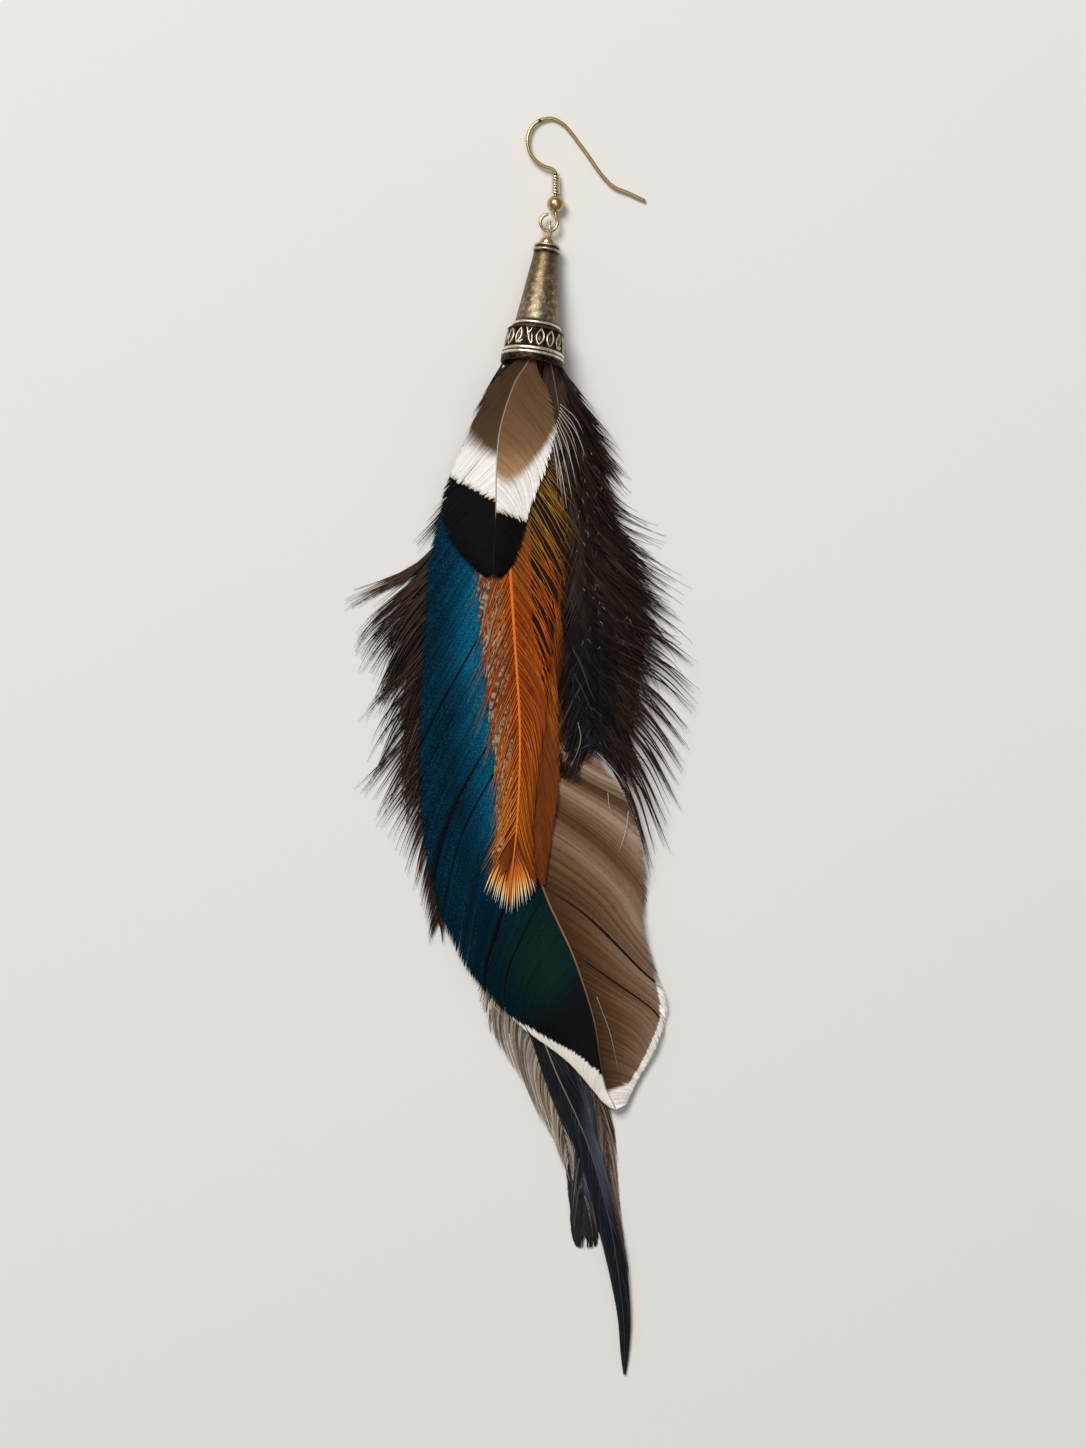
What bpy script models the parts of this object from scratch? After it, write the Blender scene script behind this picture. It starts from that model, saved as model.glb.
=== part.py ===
"""Feather drop earring, lying on its side on a table, as it comes out of its box.

Metres, +Z up. The ear wire points to +Y and the longest feather to -Y, and the origin is on the
table under the middle of the whole earring. A brass end cap holds eleven loose feathers by their
quills. An eye pin in its neck carries the ear wire, whose own eye turns in the pin's loop.

Every feather is a thin plate, lofted between its left edge, its quill and its right edge. The
plates lie on one another like sheets: a level counts the feather thicknesses between a plate and
the table, so two feathers that cross keep different levels.
"""

import math

import bmesh
import bpy
from mathutils import Vector

MM = 0.001

# Ear wire and its eye, in millimetres
WIRE_RADIUS = 0.28
EYE_RADIUS = 1.45
EYE_CENTRE = (4.0, 89.25)
STEM_X = 5.15
STEM_JOIN_DEG = 35.0
EYE_END_DEG = -265.0
EYE_STEPS = 20
BALL_RADIUS = 1.47
BALL_Y = 92.45
BALL_BORE_RADIUS = 0.38
CROOK_DROP = 1.17
TIP_DROP = 1.17
HOOK_POINTS = (
    (20.5, 92.8), (17.8, 94.1), (15.2, 95.2), (13.2, 97.2), (10.8, 100.5), (9.2, 102.7),
    (7.7, 104.6), (6.4, 105.9), (4.6, 106.7), (2.7, 106.4), (1.3, 105.5), (0.6, 104.2),
    (0.4, 102.8), (0.9, 101.0), (1.8, 99.8), (3.1, 99.0), (4.5, 98.5),
)

# Coil wound round the stem above the ball
COIL_WIRE_RADIUS = 0.17
COIL_MEAN_RADIUS = 0.55
COIL_TURNS = 8
COIL_BOTTOM_Y = 94.25
COIL_TOP_Y = 97.5
COIL_STEPS = 8

# End cap: heights run from the mouth towards the neck
CAP_MOUTH = (1.0, 64.6)
CAP_YAW_DEG = 7.4
RIM_HEIGHT = 1.27
RIM_RADIUS = 5.4
SHOULDER_HEIGHT = 5.75
SHOULDER_RADIUS = 4.85
COLLAR_HEIGHT = 20.2
COLLAR_RADIUS = 2.33
CAP_TOP = 21.3
BORE_RADIUS = 0.38
INNER_MOUTH_RADIUS = 4.8

# Dome bead and eye pin
DOME_BOTTOM = 21.4
DOME_TOP = 22.7
DOME_RADIUS = 1.4
PIN_RADIUS = 0.25
PIN_LOOP_RADIUS = 1.15
PIN_FOOT = 17.6
PIN_LOOP_GAP_DEG = 42.0
PIN_CLEARANCE = 0.12

# Feathers
SHEET = 0.3
RACHIS_RISE = 0.1
PITCH = 0.6
SETTLE = 16.0
NEST_END = 8.0
NEAR_STEP = 5.0
QUILL_RADIUS = 0.35
QUILL_DEPTHS = (6.0, 0.4)
NEST_RADIUS = 4.9


def smooth(t):
    """0 to 1 with level ends."""
    t = min(1.0, max(0.0, t))
    return t * t * (3.0 - 2.0 * t)


def mix(a, b, t):
    return a + (b - a) * t


def curve_point(points, t):
    """A point at t, 0 to 1, of the smooth curve that passes through all the points."""
    spans = len(points) - 1
    along = min(t * spans, spans - 1e-9)
    i = int(along)
    f = along - i
    p1 = points[i]
    p2 = points[i + 1]
    p0 = points[i - 1] if i > 0 else tuple(2 * a - b for a, b in zip(p1, p2))
    p3 = points[i + 2] if i + 2 <= spans else tuple(2 * b - a for a, b in zip(p1, p2))
    return tuple(
        0.5 * (2 * b + (c - a) * f + (2 * a - 5 * b + 4 * c - d) * f ** 2 + (3 * b - a - 3 * c + d) * f ** 3)
        for a, b, c, d in zip(p0, p1, p2, p3)
    )


# The cap lies on its shoulder and on its collar, which sets its tilt and the height of its mouth.
CAP_TILT = math.atan((SHOULDER_RADIUS - COLLAR_RADIUS) / (COLLAR_HEIGHT - SHOULDER_HEIGHT))
CAP_YAW = math.radians(CAP_YAW_DEG)
MOUTH_Z = SHOULDER_HEIGHT * math.sin(CAP_TILT) + SHOULDER_RADIUS * math.cos(CAP_TILT)
MOUTH = Vector((CAP_MOUTH[0], CAP_MOUTH[1], MOUTH_Z))
CAP_AXIS = Vector((
    math.sin(CAP_YAW) * math.cos(CAP_TILT),
    math.cos(CAP_YAW) * math.cos(CAP_TILT),
    -math.sin(CAP_TILT),
))
CAP_SIDE = Vector((math.cos(CAP_YAW), -math.sin(CAP_YAW), 0.0))
CAP_UP = CAP_SIDE.cross(CAP_AXIS)
CAP_ROTATION = (-(math.pi / 2 + CAP_TILT), 0.0, -CAP_YAW)

# The ear wire lies on its ball, on the crook of the hook and on the hook's tip.
CROOK = Vector(HOOK_POINTS[7]) - Vector((STEM_X, BALL_Y))
TIP = Vector(HOOK_POINTS[0]) - Vector((STEM_X, BALL_Y))
DETERMINANT = CROOK.x * TIP.y - CROOK.y * TIP.x
SLOPE_X = (-CROOK_DROP * TIP.y + TIP_DROP * CROOK.y) / DETERMINANT
SLOPE_Y = (-TIP_DROP * CROOK.x + CROOK_DROP * TIP.x) / DETERMINANT
PIVOT_Z = BALL_RADIUS + SLOPE_X * (EYE_CENTRE[0] - STEM_X) + SLOPE_Y * (EYE_CENTRE[1] - BALL_Y)
PIVOT = Vector((EYE_CENTRE[0], EYE_CENTRE[1], PIVOT_Z))
WIRE_ROTATION = (math.asin(SLOPE_Y), -math.asin(SLOPE_X), 0.0)


def clear_scene():
    for old in list(bpy.data.objects):
        bpy.data.objects.remove(old, do_unlink=True)


def new_collection(name):
    group = bpy.data.collections.new(name)
    bpy.context.scene.collection.children.link(group)
    return group


def material(name, colour, roughness, metallic):
    mat = bpy.data.materials.new(name)
    mat.use_nodes = True
    shader = mat.node_tree.nodes["Principled BSDF"]
    shader.inputs["Base Color"].default_value = (*colour, 1.0)
    shader.inputs["Roughness"].default_value = roughness
    shader.inputs["Metallic"].default_value = metallic
    return mat


def add(name, data, group, mat, location=(0, 0, 0), rotation=(0, 0, 0), parent=None):
    """Links a new object, placed in millimetres."""
    obj = bpy.data.objects.new(name, data)
    group.objects.link(obj)
    obj.location = Vector(location) * MM
    obj.rotation_euler = rotation
    obj.parent = parent
    if mat is not None:
        data.materials.append(mat)
    return obj


def tube(name, points, radius, group, mat, **place):
    """A round wire with closed ends along the points, in millimetres."""
    data = bpy.data.curves.new(name, "CURVE")
    data.dimensions = "3D"
    data.bevel_depth = radius * MM
    data.bevel_resolution = 2
    data.use_fill_caps = True
    spline = data.splines.new("POLY")
    spline.points.add(len(points) - 1)
    for slot, point in zip(spline.points, points):
        slot.co = (*(Vector(point) * MM), 1.0)
    return add(name, data, group, mat, **place)


def turned(name, profile, steps, group, mat, **place):
    """A ring turned about Z from a closed profile of (radius, height), outer side first."""
    mesh = bpy.data.meshes.new(name)
    verts = [(radius * MM, 0.0, height * MM) for radius, height in profile]
    edges = [(i, (i + 1) % len(verts)) for i in range(len(verts))]
    mesh.from_pydata(verts, edges, [])
    obj = add(name, mesh, group, mat, **place)
    screw = obj.modifiers.new("turn", "SCREW")
    screw.steps = steps
    screw.render_steps = steps
    screw.use_merge_vertices = True
    screw.merge_threshold = 0.00001
    screw.use_smooth_shade = True
    return obj


def bulge(radius, height, reach, width, parts=4):
    """Points of a half-round bead that stands out by reach from radius, from top to bottom."""
    angles = [math.pi / 2 - math.pi * i / parts for i in range(parts + 1)]
    return [(radius + reach * math.cos(a), height + width / 2 * math.sin(a)) for a in angles]


def cap_profile():
    """End cap: two lips at the neck, a plain cone, a beaded edge, a sunk band and a double rim."""
    outer = [(BORE_RADIUS, CAP_TOP), (1.55, CAP_TOP), (1.72, 21.1), (1.68, 20.8)]
    outer += bulge(2.05, COLLAR_HEIGHT, COLLAR_RADIUS - 2.05, 0.8)
    outer += [(2.12, 19.4), (3.75, 7.15)]
    outer += bulge(3.95, 6.75, 0.22, 0.55)
    outer += [(SHOULDER_RADIUS - 0.1, 5.95), (SHOULDER_RADIUS, SHOULDER_HEIGHT)]
    outer += [(4.65, 5.65), (4.95, 2.45), (5.15, 2.4)]
    outer += bulge(5.15, 2.0, 0.15, 0.6)
    outer += bulge(5.25, RIM_HEIGHT, RIM_RADIUS - 5.25, 0.6)
    outer += [(5.3, 0.0)]
    inner = [(INNER_MOUTH_RADIUS, 0.0), (4.5, 0.8), (4.3, 6.0), (3.3, 7.6), (1.5, 18.6), (BORE_RADIUS, 19.6)]
    return outer + inner


def dome_profile():
    """Bead that closes the neck: a low dome, drilled for the eye pin."""
    rise = DOME_TOP - DOME_BOTTOM
    crown = [
        (DOME_RADIUS * math.cos(math.radians(a)), DOME_BOTTOM + rise * math.sin(math.radians(a)))
        for a in (72, 55, 38, 20, 0)
    ]
    return [(BORE_RADIUS, crown[0][1])] + crown + [(BORE_RADIUS, DOME_BOTTOM)]


def ball_profile():
    """Ball bead with a straight bore, about its own centre."""
    start = math.degrees(math.acos(BALL_BORE_RADIUS / BALL_RADIUS))
    angles = [math.radians(start - 2 * start * i / 12) for i in range(13)]
    return [(BALL_RADIUS * math.cos(a), BALL_RADIUS * math.sin(a)) for a in angles]


def pin_points():
    """Eye pin: a straight shank in the cap's axis, then a loop that stands on the mouth's plane."""
    loop_centre = DOME_TOP + PIN_CLEARANCE + PIN_RADIUS + PIN_LOOP_RADIUS
    sweep = 360.0 - PIN_LOOP_GAP_DEG
    points = [(0.0, 0.0, PIN_FOOT), (0.0, 0.0, loop_centre - PIN_LOOP_RADIUS - 0.5)]
    for i in range(EYE_STEPS + 1):
        a = math.radians(-90.0 + sweep * i / EYE_STEPS)
        points.append((0.0, PIN_LOOP_RADIUS * math.cos(a), loop_centre + PIN_LOOP_RADIUS * math.sin(a)))
    return points


def ear_wire_points():
    """Hook, straight stem through coil and ball, then the open eye, in the wire's own plane."""
    stem = ((STEM_X, 97.8), (STEM_X, 96.0), (STEM_X, 94.0), (STEM_X, 92.4), (STEM_X, 90.9))
    guide = HOOK_POINTS + stem
    steps = 2 * (len(guide) - 1)
    path = [curve_point(guide, i / steps) for i in range(steps + 1)]
    sweep = EYE_END_DEG - STEM_JOIN_DEG
    for i in range(EYE_STEPS + 1):
        a = math.radians(STEM_JOIN_DEG + sweep * i / EYE_STEPS)
        path.append((EYE_CENTRE[0] + EYE_RADIUS * math.cos(a), EYE_CENTRE[1] + EYE_RADIUS * math.sin(a)))
    return [(x - EYE_CENTRE[0], y - EYE_CENTRE[1], 0.0) for x, y in path]


def coil_points():
    """Helix round the stem, in the wire's own plane."""
    points = []
    for i in range(COIL_TURNS * COIL_STEPS + 1):
        a = 2 * math.pi * i / COIL_STEPS
        y = mix(COIL_BOTTOM_Y, COIL_TOP_Y, i / (COIL_TURNS * COIL_STEPS)) - EYE_CENTRE[1]
        x = STEM_X - EYE_CENTRE[0] + COIL_MEAN_RADIUS * math.cos(a)
        points.append((x, y, COIL_MEAN_RADIUS * math.sin(a)))
    return points


def sheet_height(x, y, level, nest):
    """Middle of a feather above the table: nested arcs at the mouth, flat levels further out."""
    offset = MOUTH.xy - Vector((x, y))
    out = offset.dot(CAP_AXIS.xy) / CAP_AXIS.xy.length
    across = -offset.dot(CAP_SIDE.xy)
    arc = math.sqrt(max(0.05, 1.0 - (across / NEST_RADIUS) ** 2))
    at_mouth = MOUTH_Z + nest * mix(arc, 1.0, smooth(out / NEST_END))
    at_rest = SHEET / 2 + level * PITCH
    return mix(at_mouth, at_rest, smooth(out / SETTLE))


def quill_section(socket, depth):
    """Ten points round the quill, that deep inside the cap."""
    centre = MOUTH + CAP_SIDE * socket[0] + CAP_UP * socket[1] + CAP_AXIS * depth
    angles = [math.radians(162 - 36 * i) for i in range(10)]
    return [centre + (CAP_SIDE * math.cos(a) + CAP_UP * math.sin(a)) * QUILL_RADIUS for a in angles]


def vane_section(left, quill, right, levels, nest):
    """Ten points round the plate: five on its top from left to right, five back underneath."""
    spots = []
    for edge, level, share in ((left, levels[0], 1.0), (left, levels[0], 0.5), (quill, levels[1], 1.0),
                               (right, levels[2], 0.5), (right, levels[2], 1.0)):
        x = mix(quill[0], edge[0], share)
        y = mix(quill[1], edge[1], share)
        spots.append(Vector((x, y, sheet_height(x, y, mix(levels[1], level, share), nest))))
    half = SHEET / 2
    rises = (half, half, half + RACHIS_RISE, half, half)
    top = [spot + Vector((0, 0, rise)) for spot, rise in zip(spots, rises)]
    bottom = [spot - Vector((0, 0, half)) for spot in reversed(spots)]
    return top + bottom


def stations(rows):
    """Curve positions, 0 to 1, of a feather's sections: two a row, and closer by the mouth."""
    spans = len(rows) - 1
    found = []
    for i in range(spans):
        start = Vector(rows[i][1])
        count = 2
        if (MOUTH.xy - start).length < SETTLE:
            count = max(1, round((Vector(rows[i + 1][1]) - start).length / NEAR_STEP))
        found += [(i + j / count) / spans for j in range(count)]
    return found + [1.0]


def feather(name, rows, levels, socket, group, mat):
    """A feather from its quill in the cap to its tip.

    rows are (left edge, quill, right edge) points seen from above, in millimetres from the mouth
    to the tip, and levels are (left, quill, right) levels, evenly spaced from the mouth to the tip.
    """
    nest = socket[1] / math.sqrt(1.0 - (socket[0] / NEST_RADIUS) ** 2)
    flat_rows = [left + quill + right for left, quill, right in rows]
    sections = [quill_section(socket, depth) for depth in QUILL_DEPTHS]
    for t in stations(rows):
        xl, yl, xq, yq, xr, yr = curve_point(flat_rows, t)
        along = min(t * (len(levels) - 1), len(levels) - 1 - 1e-9)
        here = int(along)
        row_levels = [mix(a, b, along - here) for a, b in zip(levels[here], levels[here + 1])]
        sections.append(vane_section((xl, yl), (xq, yq), (xr, yr), row_levels, nest))
    mesh = bpy.data.meshes.new(name)
    bm = bmesh.new()
    rings = [[bm.verts.new(point * MM) for point in section] for section in sections]
    for near, far in zip(rings, rings[1:]):
        for j in range(len(near)):
            k = (j + 1) % len(near)
            bm.faces.new((near[j], near[k], far[k], far[j]))
    bm.faces.new(rings[0])
    bm.faces.new(rings[-1])
    bmesh.ops.recalc_face_normals(bm, faces=bm.faces)
    bm.to_mesh(mesh)
    bm.free()
    return add(name, mesh, group, mat)


def build_findings(group):
    """Ear wire, coil and ball on their pivot; eye pin, dome bead and end cap on the drop."""
    brass = material("antique_brass", (0.45, 0.33, 0.16), 0.35, 1.0)
    pewter = material("worn_brass", (0.32, 0.28, 0.2), 0.45, 1.0)
    pivot = bpy.data.objects.new("ear_wire_pivot", None)
    group.objects.link(pivot)
    pivot.location = PIVOT * MM
    pivot.rotation_euler = WIRE_ROTATION
    tube("ear_wire", ear_wire_points(), WIRE_RADIUS, group, brass, parent=pivot)
    tube("wire_coil", coil_points(), COIL_WIRE_RADIUS, group, brass, parent=pivot)
    ball_place = (STEM_X - EYE_CENTRE[0], BALL_Y - EYE_CENTRE[1], 0.0)
    turned("ball_bead", ball_profile(), 20, group, brass,
           location=ball_place, rotation=(-math.pi / 2, 0, 0), parent=pivot)
    on_cap = {"location": MOUTH, "rotation": CAP_ROTATION}
    tube("eye_pin", pin_points(), PIN_RADIUS, group, brass, **on_cap)
    turned("dome_bead", dome_profile(), 20, group, brass, **on_cap)
    turned("end_cap", cap_profile(), 24, group, pewter, **on_cap)


def build_feathers(group):
    """The eleven feathers, from the lowest level to the highest."""
    slate = material("slate_vane", (0.03, 0.03, 0.035), 0.5, 0.0)
    brown = material("brown_vane", (0.2, 0.14, 0.09), 0.6, 0.0)
    grey = material("grey_vane", (0.22, 0.18, 0.14), 0.6, 0.0)
    plume = material("dark_plume", (0.03, 0.022, 0.018), 0.7, 0.0)
    blue = material("blue_vane", (0.01, 0.11, 0.2), 0.4, 0.0)
    rust = material("rust_vane", (0.4, 0.12, 0.02), 0.5, 0.0)
    tan = material("banded_vane", (0.3, 0.2, 0.12), 0.55, 0.0)

    feather("blunt_dark_feather", (
        ((1.0, 62.4), (1.4, 62.4), (1.8, 62.4)),
        ((0.4, 8.0), (1.1, 8.0), (1.8, 8.0)),
        ((2.0, -34.5), (3.0, -34.5), (4.0, -34.5)),
        ((5.2, -56.6), (6.7, -56.6), (8.4, -56.6)),
        ((7.4, -68.5), (9.3, -68.5), (11.3, -68.5)),
        ((7.9, -77.0), (9.9, -77.0), (12.0, -77.0)),
        ((8.4, -84.0), (10.1, -84.5), (12.0, -83.8)),
    ), ((0, 0, 0), (0, 0, 0)), (0.4, -3.2), group, slate)

    feather("brown_striped_feather", (
        ((2.8, 62.4), (3.1, 62.4), (3.4, 62.4)),
        ((4.8, 8.0), (5.4, 8.0), (6.0, 8.0)),
        ((7.9, -34.5), (8.8, -34.5), (9.7, -34.5)),
        ((10.6, -56.6), (11.8, -56.6), (13.5, -56.6)),
        ((12.4, -66.8), (13.7, -66.8), (15.2, -66.8)),
        ((13.3, -75.3), (14.5, -75.3), (15.7, -75.3)),
        ((14.9, -83.8), (15.7, -83.8), (16.7, -83.8)),
        ((16.9, -89.8), (17.3, -89.8), (17.6, -89.8)),
    ), ((0, 0, 0), (0, 0, 0)), (1.9, -2.2), group, brown)

    feather("grey_striped_feather", (
        ((-1.2, 62.4), (-0.8, 62.4), (-0.4, 62.4)),
        ((-4.5, 25.0), (-3.8, 25.0), (-3.0, 25.0)),
        ((-5.0, -9.0), (-3.5, -9.0), (-2.2, -9.0)),
        ((-6.9, -34.5), (-2.2, -34.5), (0.2, -34.5)),
        ((-6.4, -45.2), (0.2, -46.4), (3.0, -46.4)),
        ((-0.3, -56.8), (3.4, -57.5), (6.0, -57.5)),
        ((4.0, -64.8), (6.2, -65.1), (8.0, -65.1)),
        ((7.6, -74.0), (7.9, -74.0), (8.2, -74.0)),
    ), ((0.8, 0.8, 0.8), (0.8, 0.8, 0.8)), (-1.5, -2.2), group, grey)

    feather("long_dark_feather", (
        ((0.4, 62.4), (0.8, 62.4), (1.2, 62.4)),
        ((-2.0, 25.0), (-1.2, 25.0), (-0.4, 25.0)),
        ((-2.0, -9.0), (-1.2, -9.0), (-0.4, -9.0)),
        ((-1.3, -39.6), (0.4, -39.6), (2.1, -39.6)),
        ((2.1, -53.2), (4.2, -52.9), (6.9, -53.2)),
        ((5.9, -63.4), (8.9, -63.4), (11.0, -63.4)),
        ((9.3, -70.6), (11.6, -70.6), (13.3, -70.6)),
        ((12.2, -81.6), (14.5, -81.6), (16.1, -81.6)),
        ((14.0, -88.7), (15.7, -88.9), (17.3, -88.9)),
        ((15.6, -96.6), (16.7, -97.1), (17.9, -97.4)),
        ((16.2, -103.4), (16.9, -103.4), (17.6, -103.4)),
        ((16.7, -107.1), (16.9, -107.1), (17.1, -107.1)),
    ), ((1.6, 1.6, 1.6), (1.6, 1.6, 1.6), (1.6, 1.6, 1.6), (1.6, 1.6, 1.6), (1.2, 1.2, 1.2), (0, 0, 0)),
        (0.2, -1.1), group, slate)

    feather("left_plume", (
        ((-4.1, 63.4), (-3.7, 63.4), (-3.3, 63.4)),
        ((-8.8, 57.3), (-7.1, 56.4), (-5.2, 55.6)),
        ((-13.2, 45.4), (-10.8, 43.7), (-7.7, 42.0)),
        ((-20.7, 34.3), (-13.3, 32.6), (-9.8, 31.8)),
        ((-28.1, 23.0), (-14.9, 19.9), (-11.1, 18.2)),
        ((-29.0, 13.1), (-15.6, 8.0), (-12.0, 5.4)),
        ((-26.4, -0.5), (-15.7, -3.9), (-12.5, -6.5)),
        ((-25.4, -10.7), (-15.6, -15.0), (-12.8, -16.7)),
        ((-21.0, -20.1), (-15.2, -23.5), (-13.3, -24.3)),
        ((-15.2, -32.5), (-14.7, -32.5), (-14.2, -32.5)),
    ), ((0.9, 0.9, 0.9), (0, 0.5, 0.7), (0, 0.5, 0.7), (0, 0.3, 0.5)), (-3.2, -0.2), group, plume)

    feather("speculum_feather", (
        ((0.4, 63.2), (0.8, 63.2), (1.2, 63.2)),
        ((-4.3, 57.3), (-0.3, 57.3), (3.3, 57.3)),
        ((-11.5, 47.1), (-2.0, 47.1), (5.2, 47.1)),
        ((-16.1, 34.5), (-2.8, 34.3), (6.9, 34.3)),
        ((-17.4, 18.2), (-3.0, 18.2), (7.9, 18.2)),
        ((-18.3, 2.9), (-2.3, 2.9), (10.6, 1.2)),
        ((-17.8, -13.3), (-0.6, -13.3), (18.1, -9.9)),
        ((-14.9, -28.1), (3.3, -24.8), (20.7, -24.0)),
        ((-9.4, -38.8), (8.4, -36.2), (23.0, -38.2)),
        ((-1.8, -46.8), (11.6, -46.2), (24.1, -44.7)),
        ((6.7, -53.2), (12.7, -53.2), (21.2, -52.4)),
        ((11.8, -58.7), (13.3, -58.3), (18.3, -57.5)),
        ((14.0, -60.9), (15.0, -61.2), (17.6, -60.5)),
    ), ((3.2, 3.2, 3.2), (2.0, 3.2, 3.0), (2.0, 3.2, 2.6), (2.2, 3.2, 1.6), (3.0, 3.2, 1.6), (2.4, 2.4, 1.8)),
        (0.0, 0.6), group, blue)

    feather("right_plume", (
        ((5.4, 63.1), (6.0, 63.1), (6.8, 63.1)),
        ((5.2, 59.0), (7.2, 59.0), (11.6, 59.5)),
        ((5.2, 50.5), (8.9, 50.5), (16.9, 52.2)),
        ((5.0, 40.3), (11.0, 40.3), (20.3, 41.1)),
        ((4.5, 30.1), (13.0, 30.1), (24.2, 31.8)),
        ((4.2, 19.9), (14.5, 19.9), (28.0, 19.9)),
        ((4.3, 9.7), (15.7, 9.7), (29.0, 13.1)),
        ((5.5, -0.5), (16.9, 0.3), (28.1, 2.0)),
        ((11.6, -7.3), (18.4, -8.2), (26.3, -7.0)),
        ((17.8, -15.0), (20.5, -15.8), (24.1, -15.0)),
        ((21.7, -21.6), (22.2, -21.6), (22.7, -21.6)),
    ), ((4.3, 4.3, 3.0), (4.3, 4.3, 0.0), (4.3, 4.3, 0.0), (4.0, 3.6, 2.4)), (3.2, 0.8), group, plume)

    feather("back_hackle", (
        ((2.2, 62.7), (2.6, 62.7), (3.0, 62.7)),
        ((0.4, 53.9), (3.5, 53.9), (6.2, 53.9)),
        ((-0.9, 40.3), (3.5, 40.3), (8.2, 39.4)),
        ((-1.8, 25.0), (2.6, 25.0), (6.9, 25.0)),
        ((-2.3, 9.7), (2.1, 9.7), (5.9, 9.7)),
        ((-2.0, -3.1), (2.1, -3.1), (6.0, -2.2)),
        ((-0.6, -13.3), (2.6, -12.4), (5.0, -11.6)),
        ((1.4, -19.6), (3.0, -19.6), (3.9, -19.2)),
        ((2.6, -23.6), (3.0, -23.6), (3.4, -23.6)),
    ), ((5.3, 5.3, 5.3), (5.3, 5.3, 5.3), (4.7, 4.7, 4.7)), (1.6, 1.6), group, rust)

    feather("front_hackle", (
        ((0.2, 63.2), (0.6, 63.2), (1.0, 63.2)),
        ((-4.3, 55.6), (-0.9, 55.6), (3.3, 55.6)),
        ((-7.7, 42.0), (-2.5, 42.0), (5.2, 45.4)),
        ((-9.3, 30.9), (-2.6, 31.8), (7.6, 34.3)),
        ((-8.9, 18.2), (-1.8, 18.2), (6.2, 22.4)),
        ((-7.6, 5.4), (-1.0, 5.4), (5.7, 9.7)),
        ((-6.2, -4.8), (-1.0, -4.8), (3.3, -3.1)),
        ((-6.0, -14.1), (-1.5, -14.1), (1.3, -14.1)),
        ((-6.9, -23.5), (-2.5, -23.5), (2.0, -24.3)),
        ((-3.5, -28.2), (-2.6, -28.2), (-1.8, -28.2)),
    ), ((6.3, 6.3, 6.3), (5.7, 6.3, 6.3), (5.4, 6.3, 6.3), (4.6, 5.0, 5.7)), (-0.4, 2.4), group, rust)

    feather("small_grey_feather", (
        ((4.0, 63.5), (4.7, 63.4), (5.4, 63.2)),
        ((2.6, 59.0), (5.4, 59.0), (8.1, 59.5)),
        ((3.0, 53.9), (6.2, 53.9), (9.8, 54.7)),
        ((4.5, 48.8), (7.2, 48.8), (10.1, 49.6)),
        ((6.4, 45.1), (8.1, 45.1), (9.4, 45.4)),
        ((8.1, 42.5), (8.4, 42.5), (8.8, 42.5)),
    ), ((7.3, 7.3, 7.0), (7.3, 7.3, 6.4)), (2.2, 2.75), group, grey)

    feather("banded_covert", (
        ((-3.0, 64.2), (0.0, 64.2), (2.2, 64.0)),
        ((-5.9, 61.5), (-1.8, 61.4), (3.8, 61.2)),
        ((-9.4, 53.9), (-4.2, 54.2), (5.3, 54.7)),
        ((-13.0, 45.9), (-4.9, 47.4), (3.7, 47.6)),
        ((-14.4, 40.6), (-5.0, 41.1), (0.9, 40.6)),
        ((-13.0, 35.4), (-5.2, 35.0), (-0.6, 34.9)),
        ((-9.1, 30.6), (-5.4, 30.8), (-2.3, 30.6)),
        ((-6.4, 28.6), (-5.4, 28.6), (-4.3, 28.6)),
    ), ((7.8, 8.3, 8.3), (5.4, 8.3, 8.0), (7.2, 7.5, 7.4)), (-0.6, 3.8), group, tan)


def main():
    clear_scene()
    group = new_collection("feather_drop_earring")
    build_findings(group)
    build_feathers(group)


main()
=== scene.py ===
# %% [markdown]
# # Feather drop earring
# A brass end cap holds eleven bird feathers by their quills, and a bent ear wire swings in the
# loop above it. The earring lies on its side, and the camera looks straight down on it. The CAD
# model gives every piece its place. This script gives each piece the surface that the eye sees:
# barbs, down, splits and worn metal. Lengths are in millimetres until a mesh is made.

# %% Load the frame
import math

import bpy
import numpy as np
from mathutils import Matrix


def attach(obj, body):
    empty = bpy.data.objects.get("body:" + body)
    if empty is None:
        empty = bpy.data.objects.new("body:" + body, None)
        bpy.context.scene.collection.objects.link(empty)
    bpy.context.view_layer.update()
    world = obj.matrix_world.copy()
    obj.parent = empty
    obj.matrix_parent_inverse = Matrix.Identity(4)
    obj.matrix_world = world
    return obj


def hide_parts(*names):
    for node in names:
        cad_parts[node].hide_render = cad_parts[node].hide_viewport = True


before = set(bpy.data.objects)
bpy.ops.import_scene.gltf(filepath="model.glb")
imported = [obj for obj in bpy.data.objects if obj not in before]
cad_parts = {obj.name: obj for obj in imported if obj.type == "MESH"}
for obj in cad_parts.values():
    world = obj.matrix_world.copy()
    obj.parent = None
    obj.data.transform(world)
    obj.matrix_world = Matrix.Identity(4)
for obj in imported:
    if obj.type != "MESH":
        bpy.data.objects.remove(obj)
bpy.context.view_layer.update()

MM = 0.001

# %% [markdown]
# ## The camera
# The photograph is taken from straight above with a long lens. One pixel of it covers 0.17 mm, so
# the frame's height gives the distance for a lens of 85 mm.

# %% Camera
PIXEL = 0.17
PHOTO_HEIGHT = 1448
VIEW_CENTRE = (2.975, 3.91, 3.0)
LENS = 85.0
SENSOR_SIDE = 24.0

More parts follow.
